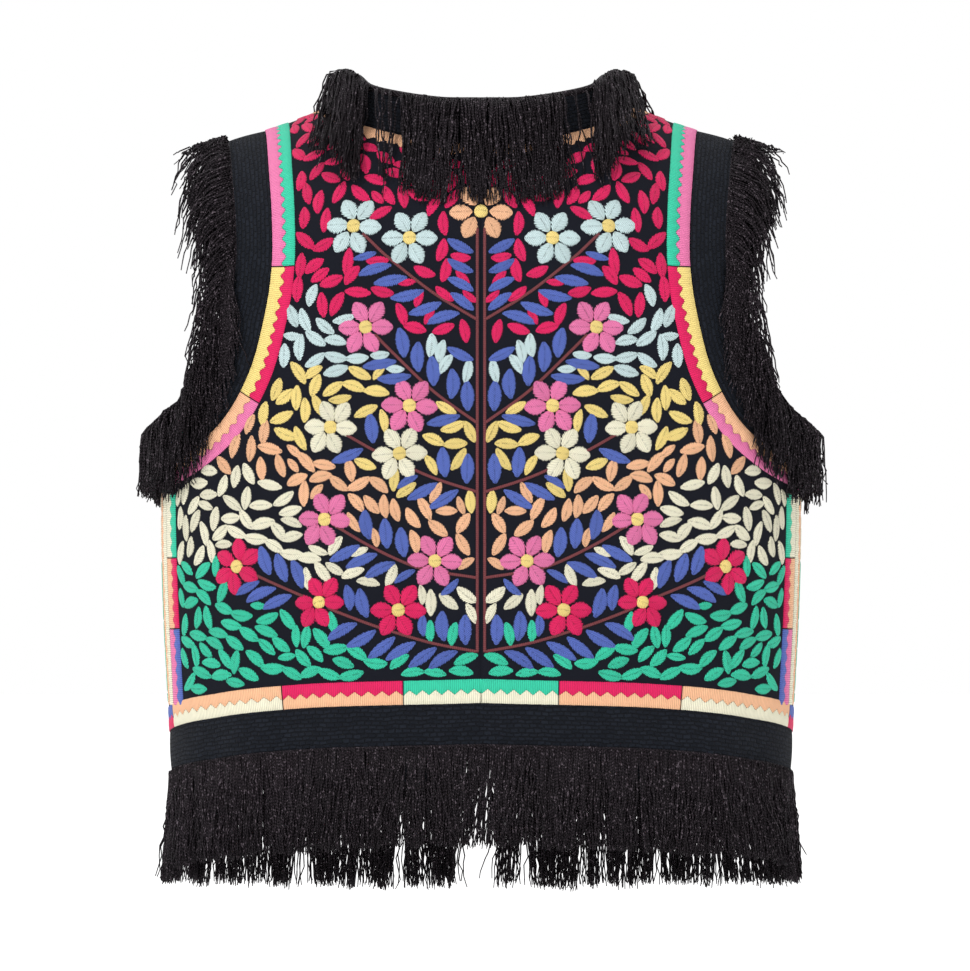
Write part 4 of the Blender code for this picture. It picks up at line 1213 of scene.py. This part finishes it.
def lay_border(route, colours, side, turned, width=BORDER, kind="round", period=SCALLOP, middle=0.54,
               swing=0.0013):
    """Two ribbons that meet in a wavy line; the first colour is on the edge's side."""
    points = form(route[:, 0], route[:, 1])
    length = float(np.linalg.norm(np.diff(points, axis=0), axis=1).sum())
    count = max(6, int(length / 0.0007))
    fine = evenly(route, count)
    stations = np.linspace(0.0, length, count + 1)
    waves = max(1, round(length / period))
    join = width * middle + swing * scallop_line(stations, length / waves, kind)
    low, high = np.full(count + 1, BORDER_START), np.full(count + 1, width)
    ends = np.minimum(stations, length - stations) < 0.0003
    for colour, near, far, profile in ((colours[0], low, join, BORDER_RISE),
                                       (colours[1], join, high, BORDER_RISE[::-1])):
        if colour is None:
            continue
        offsets = near[:, None] + (far - near)[:, None] * BORDER_SHARES
        heights = np.tile(profile, (count + 1, 1))
        heights[ends] = SUNK
        lay_ribbon(f"border_{colour}", fine, offsets, heights, side, tone=0.15, turned=turned)


# %% Where the borders run
def towards(places, inside):
    """1 if sideways steps off an edge lead to a place inside the panel, and -1 if they lead away."""
    k = len(places) // 2
    by_angle, by_drop = slopes_at(places[k, 0], places[k, 1])
    step = sideways(places)[k]
    inwards = form(*inside) - form(*places[k])
    return math.copysign(1.0, float(np.dot(by_angle * step[0] + by_drop * step[1], inwards)))


def blocks(route, value_of, limits, colours):
    """Cuts a route into blocks where a value passes the limits, from the first colours to the last."""
    fine = evenly(route, 900)
    values = value_of(fine)
    number = np.sum(values[:, None] < np.asarray(limits)[None, :], axis=1)
    for k, pair in enumerate(colours):
        inside = np.flatnonzero(number == k)
        if len(inside) > 4:
            for run in np.split(inside, np.flatnonzero(np.diff(inside) > 1) + 1):
                if len(run) > 4:
                    yield fine[run[0]:run[-1] + 2], pair


def height_of(places):
    return form(places[:, 0], places[:, 1])[:, 2]


# colours of the edge's side and of the far side, from block to block
ARMHOLE_COLOURS = (("pink", "green"), ("yellow", "red"), ("peach", "pink"))
SIDE_COLOURS = (("cream", "green"), ("peach", "red"), ("pink", "blue"))
HEM_COLOURS = {False: (("cream", "peach"), ("peach", "red"), ("cream", "green")),
               True: (("red", "blue"), ("cream", "peach"), ("peach", "red"))}


def angle_from_centre(places):
    return np.minimum(places[:, 0], 180.0 - places[:, 0])


# %% The scalloped borders
for front, grid, armhole in ((False, BACK, DOWN_BACK), (True, FRONT, UP_FRONT)):
    inside = grid[len(grid) // 2, SIDE_ROWS]
    side_line = grid[-1, :SIDE_ROWS + 1]
    heights = height_of(side_line)
    side_line = side_line[(heights > heights[0] + BORDER - 0.0028)
                          & (heights < heights[-1] - BORDER - 0.0004)]
    for side in (1, -1):
        for stretch, pair in blocks(armhole, height_of, (-0.095, -0.176), ARMHOLE_COLOURS):
            lay_border(stretch, pair, side, towards(armhole, inside))
        for stretch, pair in blocks(grid[:, 0], angle_from_centre, (39.4, 14.2), HEM_COLOURS[front]):
            lay_border(stretch, pair, side, towards(grid[:, 0], inside), kind="pointed", period=0.0086,
                       middle=0.50, swing=0.0017)
        turned = towards(side_line, inside)
        if front:
            lay_border(side_line, ("cream", "peach"), side, turned)
            edge = grid[0, 3:-2]
            for stretch, pair in blocks(edge, height_of, (-0.160, -0.260, -0.333),
                                        ARMHOLE_COLOURS[1:] + SIDE_COLOURS[1:]):
                lay_border(stretch, pair, side, towards(edge, inside))
        else:
            for stretch, pair in blocks(side_line, height_of, (-0.286, -0.333), SIDE_COLOURS):
                lay_border(stretch, pair, side, turned)
        neck = grid[:(FRONT_NECK if front else BACK_NECK) + 1, -1]
        lay_border(neck, ("peach", None), side, towards(neck, inside), width=0.0120, middle=0.80)
print("borders sewn:", sorted(name for name in SEWN if name.startswith("border")))

# %% [markdown]
# ## Yarn for the fringe
# The fringe is cut from a dark twisted yarn: it is sewn on as a thick row of strands that gather into
# tufts, keep the crimp of the cone, and fray at their ends. Hair would be lost in the exported model,
# so each strand is a thin three-sided tube that grows step by step: out of the tape, then down.

# %% Yarn
def yarn_finish():
    made, surface = new_finish("dark_twisted_yarn", 0.62, sheen=0.0, specular=0.14)
    uv = add_node(made, "ShaderNodeUVMap", {"uv_map": "Metres"}).outputs[0]
    parts = add_node(made, "ShaderNodeSeparateXYZ", Vector=uv)
    # the twist's bands are relief and also painted highlight and painted shade along the strand; the glints are
    # painted highlights
    twist_relief_and_highlight = stripes(made, calculate(made, "ADD", parts.outputs[0], parts.outputs[1]), 0.0021, 1.2)
    spots = add_node(made, "ShaderNodeTexNoise", Vector=uv, Scale=420.0, Detail=2.0).outputs["Fac"]
    glint = calculate(made, "MULTIPLY", calculate(made, "GREATER_THAN", spots, 0.62), 0.75)
    tone = add_node(made, "ShaderNodeAttribute", {"attribute_name": "tone"}).outputs["Fac"]
    face = mix_colour(made, twist_relief_and_highlight, (0.0026, 0.0019, 0.0026, 1), (0.0250, 0.0175, 0.0232, 1))
    face = mix_colour(made, calculate(made, "MULTIPLY", tone, 0.6), face, (0.0034, 0.0026, 0.0034, 1))
    face = mix_colour(made, glint, face, (0.1100, 0.0880, 0.1040, 1))
    finish_surface(made, surface, face, twist_relief_and_highlight, 0.0004, 0.9)
    return made


YARN = yarn_finish()


# %% Keeping strands off the cloth
def clear_of_form(points, clearance):
    """Moves points the shorter way, up or level, until they lie clear of the form."""
    x, y, z = points[..., 0], points[..., 1], points[..., 2]
    line_height = shoulder_height(np.abs(x))
    height = np.maximum(line_height - z, 0.0)
    on_dome = np.arccos(np.clip(1 - height / DOME_HEIGHT, 0.0, 1.0))
    turn = np.where(height < DOME_HEIGHT, on_dome, math.pi / 2)
    width = half_width(height)
    side = np.minimum(np.abs(x) / width, 1.0)
    full_depth = np.where(y < 0, back_depth(height), front_depth(height)) * (1 + FLATNESS * side**2)
    depth = np.maximum(full_depth * np.sin(turn), 1e-4)
    reach = np.hypot(x / width, y / depth)
    slope = np.hypot(x / width**2, y / depth**2) / np.maximum(reach, 1e-6)
    push_level = clearance - (reach - 1) / slope
    across = np.abs(y) / (full_depth * np.sqrt(np.maximum(1 - side**2, 1e-6)))
    top = line_height - DOME_HEIGHT * (1 - np.sqrt(np.clip(1 - across**2, 0.0, 1.0)))
    push_up = np.where(across < 1, top + clearance - z, push_level + clearance)
    needed = np.minimum(push_level, push_up) > 0
    up = needed & (push_up < push_level)
    grow = np.where(needed & ~up, push_level / np.maximum(slope * reach, 1e-6), 0.0)
    return np.stack([x * (1 + grow / width**2), y * (1 + grow / depth**2),
                     z + np.where(up, push_up, 0.0)], axis=-1)


# %% Growing and twisting strands
STEPS = 10
YARN_RADIUS = 0.00064
SIDES = 3


def grow_yarn(roots, headings, falls, lengths, first, clearance):
    """Middle lines of strands: each leaves its root along its heading and bends into its fall."""
    point = roots.copy()
    middle = [point]
    for k in range(STEPS):
        bend = np.clip((k + 0.5) / STEPS / first, 0.0, 1.0)[..., None]
        way = unit(headings * (1 - bend) * 1.2 + falls * (0.35 + 0.65 * bend))
        point = point + way * lengths[:, None] / STEPS
        if clearance is not None:
            point = clear_of_form(point, clearance)
        middle.append(point)
    return np.stack(middle, axis=1)


def twist_strands(middle, chance):
    """Points, triangles and UV of three-sided tubes round the middle lines."""
    count, rings = middle.shape[:2]
    way = unit(np.gradient(middle, axis=1))
    guess = unit(chance.normal(size=(count, 1, 3)))
    side = unit(np.cross(way, guess))
    deep = np.cross(side, way)
    thin = 1 - 0.40 * np.linspace(0.0, 1.0, rings) ** 3
    turn = np.arange(0.0, 2.0 * SIDES, 2.0) * math.pi / SIDES
    size = YARN_RADIUS * thin[None, :, None, None]
    points = middle[:, :, None] + size * (np.cos(turn)[:, None] * side[:, :, None]
                                          + np.sin(turn)[:, None] * deep[:, :, None])
    per = rings * SIDES
    k, j = np.meshgrid(np.arange(rings - 1) * SIDES, np.arange(SIDES), indexing="ij")
    a, b, c, d = k + j, k + (j + 1) % SIDES, k + SIDES + (j + 1) % SIDES, k + SIDES + j
    one = np.concatenate([np.stack([a, b, c], -1).reshape(-1, 3), np.stack([a, c, d], -1).reshape(-1, 3),
                          [[2, 1, 0], [per - 3, per - 2, per - 1]]])
    faces = (one[None] + (np.arange(count) * per)[:, None, None]).reshape(-1, 3)
    step = np.linalg.norm(np.diff(middle, axis=1), axis=2)
    along = np.concatenate([np.zeros((count, 1)), np.cumsum(step, axis=1)], axis=1)
    u = along[:, :, None] + chance.uniform(0, 0.5, (count, 1, 1)) + np.zeros(SIDES)
    v = np.zeros((count, rings, 1)) + np.arange(SIDES) * 0.0007 + chance.uniform(0, 0.5, (count, 1, 1))
    return points.reshape(-1, 3), faces, np.stack([u, v], axis=-1).reshape(-1, 2)


# %% [markdown]
# ## Where the strands grow, and how they fall
# At the hem they simply hang. Round an armhole the outer strands stand off the band and then fall, and the
# inner ones fall back over it. At the neck they bend over the top of the stand, lie on the shoulders and
# hang down the back, so they are kept clear of the cloth and of the embroidery on it. Each way of falling
# takes the roots, the way the edge faces, a sway from -1 to 1 and a layer from 0, inside, to 1, outside. It
# gives the first heading, the later fall, and the share of the length in which one turns into the other.

# %% Ways of falling
def level_away(spots, x_share):
    return unit(np.stack([spots[:, 0] * x_share, spots[:, 1], np.zeros(len(spots))], axis=-1))


def hem_way(spots, face, vary, layer):
    down = np.tile(-UP, (len(spots), 1))
    return down, unit(down + level_away(spots, 0.5) * (0.05 + 0.04 * vary)[:, None]), 0.10


def armhole_way(spots, face, vary, layer):
    aside = np.stack([np.sign(spots[:, 0]), 0 * vary, 0 * vary], axis=-1)
    out = unit(0.5 * unit(face * np.array([1.0, 1.0, 0.0]) + 1e-6) + 0.8 * aside)
    z = spots[:, 2]
    reach = layer ** 1.5 * np.interp(z, [-0.210, -0.165, -0.100, -0.040], [0.40, 0.72, 0.82, 1.0])
    lean_in = np.interp(z, [-0.200, -0.140, -0.110, -0.050, -0.020], [0.12, 0.08, 0.50, 0.40, 0.0])
    lean_in = lean_in * np.where(z > -0.140, 1 - layer, 1.0)
    falls = unit(-UP + out * (0.02 + 0.28 * reach - lean_in + 0.07 * vary)[:, None])
    headings = unit(out * (0.30 + 0.70 * layer)[:, None] + UP * (0.15 - 0.50 * (1 - layer))[:, None])
    return headings, falls, 0.10 + 0.58 * reach


def neck_way(spots, face, vary, layer):
    x, y = spots[:, 0], spots[:, 1]
    lying = 1.1 * np.exp(-(y / 0.045) ** 2)
    steep = np.where(y > 0, 1.5 * np.abs(x), 0.0)
    away = unit(np.stack([x * (0.08 + steep), y + np.copysign(0.045, y), 0 * x], axis=-1))
    tuft = np.exp(-((np.abs(x) - 0.080) / 0.016) ** 2)
    heading = unit(level_away(spots, 0.10) + (0.20 + 0.6 * tuft + 0.3 * layer)[:, None] * UP)
    falls = unit(-UP + away * (0.14 + 0.5 * steep + lying + 0.05 * vary)[:, None])
    return heading, falls, 0.15 + 0.12 * layer


# %% A table of the fringes
# density: strands for each metre; uneven: share of the length; tuft: width; gather: how far strands draw
# together; clearance: off the cloth; opening: where hardly any grow, as a distance from the centre
FRINGES = {
    "hem": dict(density=3800, length=0.0640, uneven=0.05, tuft=0.0140, gather=0.20,
                clearance=None, opening=None, way_of=hem_way),
    "front hem": dict(density=3150, length=0.0700, uneven=0.06, tuft=0.0140, gather=0.22,
                      clearance=None, opening=None, way_of=hem_way),
    "armhole": dict(density=3000, length=0.0570, uneven=0.15, tuft=0.0160, gather=0.40,
                    clearance=0.0038, opening=None, way_of=armhole_way),
    "neck": dict(density=3400, length=0.0780, uneven=0.09, tuft=0.0240, gather=0.24,
                 clearance=0.0034, opening=(0.053, 0.073), way_of=neck_way)}
# size of a wave in a strand, and how many of them it has
CRIMP = ((0.0009, 2.4), (0.0008, 4.3))


# %% One fringe
def header_tape(outer, inner, away, face, closed):
    """The tape that holds the strands, rounded over its edge, in triangles."""
    shares = np.array([0.0, 0.35, 0.75, 1.0])
    puff = np.array([0.0, 0.0004, 0.0004, 0.0])
    top = outer[:, None] + away[:, None] * (HEADER * shares)[:, None] + face[:, None] * puff[:, None]
    under = inner[:, None] + away[:, None] * (HEADER * shares)[:, None]
    tape, quads = shell(top[:-1], under[:-1], True) if closed else shell(top, under)
    if enclosed_volume(tape, quads) < 0:
        quads = quads[:, ::-1]
    return tape, np.concatenate([quads[:, [0, 1, 2]], quads[:, [0, 2, 3]]])


def crimp(middle, t, chance):
    """Lets each strand waver a little to all sides."""
    count = len(middle)
    for size, wave in CRIMP:
        for _ in range(2):
            phase = chance.uniform(0, 2 * math.pi, count)
            speed = wave * chance.uniform(0.75, 1.25, count)
            side = unit(chance.normal(size=(count, 3)))
            swing = np.sin(2 * math.pi * speed[:, None] * t + phase[:, None]) * np.minimum(t * 3, 1.0)
            middle += side[:, None] * (size * swing)[..., None]


def add_fringe(node, kind, edge, closed, seed):
    density, length, uneven, tuft, gather, clearance, opening, way_of = FRINGES[kind].values()
    chance = np.random.default_rng(seed)
    outer, inner, away = (np.concatenate([part, part[:1]]) if closed else part for part in edge)
    face = unit(outer - inner)
    tape, tape_faces = header_tape(outer, inner, away, face, closed)
    stations = np.concatenate([[0.0], np.cumsum(np.linalg.norm(np.diff(outer, axis=0), axis=1))])
    total = stations[-1]
    count = int(total * density)

    def read(values, at):
        return np.stack([np.interp(at, stations, values[:, k]) for k in range(3)], axis=-1)

    # where the strands grow: along the edge, in tufts and in layers
    at = (np.arange(count) + chance.uniform(0, 1, count)) / count * total
    if opening:
        near = read(outer, at)
        x = np.abs(near[:, 0])
        in_opening = (x > opening[0]) & (x < opening[1]) & (near[:, 1] < 0)
        at = at[~in_opening | (chance.uniform(0, 1, count) < 0.08)]
        count = len(at)
    tufts = int(total / tuft) + 1
    centre = (np.arange(tufts) + 0.5 + chance.uniform(-0.22, 0.22, tufts)) * total / tufts
    nearest = np.argmin(np.abs(at[:, None] - centre[None]), axis=1)
    out = read(face, at)
    layer = chance.uniform(0.0, 1.0, count)
    off_tape = 0.0002 + 0.0016 * layer
    if "hem" in kind:
        off_tape = off_tape - 0.0020 * (layer < 0.25)
    roots = (read(outer, at) + read(away, at) * (HEADER * chance.uniform(0.02, 0.98, count))[:, None]
             + out * off_tape[:, None])

    # how each one falls, swayed with its tuft, with a few strays
    tuft_sway = chance.uniform(-1, 1, tufts)[nearest]
    vary = 0.6 * tuft_sway + 0.4 * chance.uniform(-1, 1, count)
    headings, falls, first = way_of(roots, out, vary, layer)
    along = unit(read(np.gradient(outer, axis=0), at))
    sway = 0.10 * chance.uniform(-1, 1, tufts)[nearest] + 0.045 * chance.normal(size=count)
    stray = chance.uniform(0, 1, count) < 0.02
    falls = unit(falls + along * (sway * np.where(stray, 3.5, 1.0))[:, None]
                 + unit(chance.normal(size=(count, 3))) * np.where(stray, 0.22, 0.03)[:, None])
    headings = unit(headings + along * sway[:, None])
    if kind == "neck":
        at_side = np.clip((np.abs(roots[:, 0]) - 0.070) / 0.010, 0, 1) * (roots[:, 1] < 0)
        length = length * (1 + 0.22 * at_side)
    long = length * (1 + uneven * 0.45 * chance.uniform(-1, 1, tufts)[nearest])
    long = long * (1 - uneven * chance.uniform(0, 1, count) ** 2)
    middle = grow_yarn(roots, headings, falls, long, first, clearance)
    t = np.linspace(0.0, 1.0, STEPS + 1)
    pull = (centre[nearest] - at) * gather
    middle += along[:, None] * (pull[:, None] * t**1.2)[..., None]
    crimp(middle, t, chance)
    if clearance is not None:
        middle[:, 2:] = clear_of_form(middle[:, 2:], clearance * 0.6)
    points, faces, uv = twist_strands(middle, chance)
    tone = 0.6 * chance.uniform(0, 1, count) + 0.4 * chance.uniform(0, 1, tufts)[nearest]
    tone = np.repeat(tone, (STEPS + 1) * SIDES)
    piece = add_piece(node + "_yarn", np.concatenate([points, tape]),
                      np.concatenate([faces, tape_faces + len(points)]),
                      np.concatenate([uv, tape[:, [0, 2]]]), YARN,
                      marks={"tone": np.concatenate([tone, np.full(len(tape), 0.5)])}, sharp=None)
    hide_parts(node)
    print(node, "has", count, "strands along", round(total * 1000), "mm")


# %% The six fringes
add_fringe("hem_fringe_back", "hem", EDGES["hem", "back"], False, 3)
add_fringe("hem_fringe_front_right", "front hem", EDGES["hem", "front_right"], False, 4)
add_fringe("hem_fringe_front_left", "front hem", EDGES["hem", "front_left"], False, 5)
add_fringe("armhole_fringe_right", "armhole", EDGES["armhole", "right"], True, 6)
add_fringe("armhole_fringe_left", "armhole", EDGES["armhole", "left"], True, 7)
add_fringe("neck_fringe", "neck", EDGES["neck", "all"], False, 8)

# %% [markdown]
# ## Sewing it all down
# All stitches of one colour and kind become one piece, so that the vest has a few dozen pieces and not
# thousands. Each keeps its own threads, because they are drawn on its UV map.

# %% Sewing it all down
for name, parts in sorted(SEWN.items()):
    base = np.cumsum([0] + [len(part[0]) for part in parts])
    faces = [part[1] + start for part, start in zip(parts, base)]
    points, uv, tone, rim = (np.concatenate([part[k] for part in parts]) for k in (0, 2, 3, 4))
    colour = "yellow" if name == "flower_centres" else name.split("_", 1)[1]
    piece = add_piece(name, points, np.concatenate(faces), uv, THREADS[colour],
                      marks={"tone": tone, "rim": rim}, sharp=None)

# %% [markdown]
# ## Light, floor and camera
# The picture is taken from straight behind, level with the middle of the vest, in soft light on white. A
# long lens flattens it as a shop's picture is, an even sky lights all sides, and a large lamp on the left
# gives the padded leaves their shadows.

# %% Light, floor and camera
bpy.ops.mesh.primitive_plane_add(size=14.0, location=(0.0, 0.0, -0.62))
floor = bpy.context.object
floor.name = "studio_floor"
white, surface = new_finish("studio_white", 0.9)
surface.inputs["Base Color"].default_value = (0.97, 0.97, 0.97, 1.0)
floor.data.materials.append(white)

world = bpy.data.worlds.new("studio")
bpy.context.scene.world = world
world.use_nodes = True
sky = world.node_tree.nodes["Background"]
sky.inputs["Color"].default_value = (1.0, 1.0, 1.0, 1.0)
sky.inputs["Strength"].default_value = 1.0

overhead = bpy.data.lights.new("overhead", "SUN")
overhead.energy = 0.75
overhead.angle = math.radians(60)
lamp = bpy.data.objects.new("overhead", overhead)
bpy.context.scene.collection.objects.link(lamp)
lamp.rotation_euler = (math.radians(-22), math.radians(-12), 0.0)


def add_light(name, spot, aim, size, power):
    light = bpy.data.lights.new(name, "AREA")
    light.shape = "DISK"
    light.size = size
    light.energy = power
    lamp = bpy.data.objects.new(name, light)
    bpy.context.scene.collection.objects.link(lamp)
    lamp.location = spot
    away = np.array(spot, float) - np.array(aim, float)
    lamp.rotation_euler = (math.acos(away[2] / np.linalg.norm(away)), 0.0,
                           math.atan2(away[1], away[0]) + math.pi / 2)


VEST_MIDDLE = (0.0, 0.0, -0.2)
add_light("key", (-1.7, -2.4, 1.6), VEST_MIDDLE, 0.9, 60.0)
add_light("fill", (2.2, -2.4, 0.4), VEST_MIDDLE, 1.8, 12.0)

camera_data = bpy.data.cameras.new("camera")
camera_data.sensor_width = 36.0
camera_data.lens = 225.0
camera = bpy.data.objects.new("camera", camera_data)
bpy.context.scene.collection.objects.link(camera)
camera.location = (0.0026, -4.05, -0.238)
camera.rotation_euler = (math.pi / 2, 0.0, 0.0)
bpy.context.scene.camera = camera
bpy.context.scene.view_settings.view_transform = "Standard"
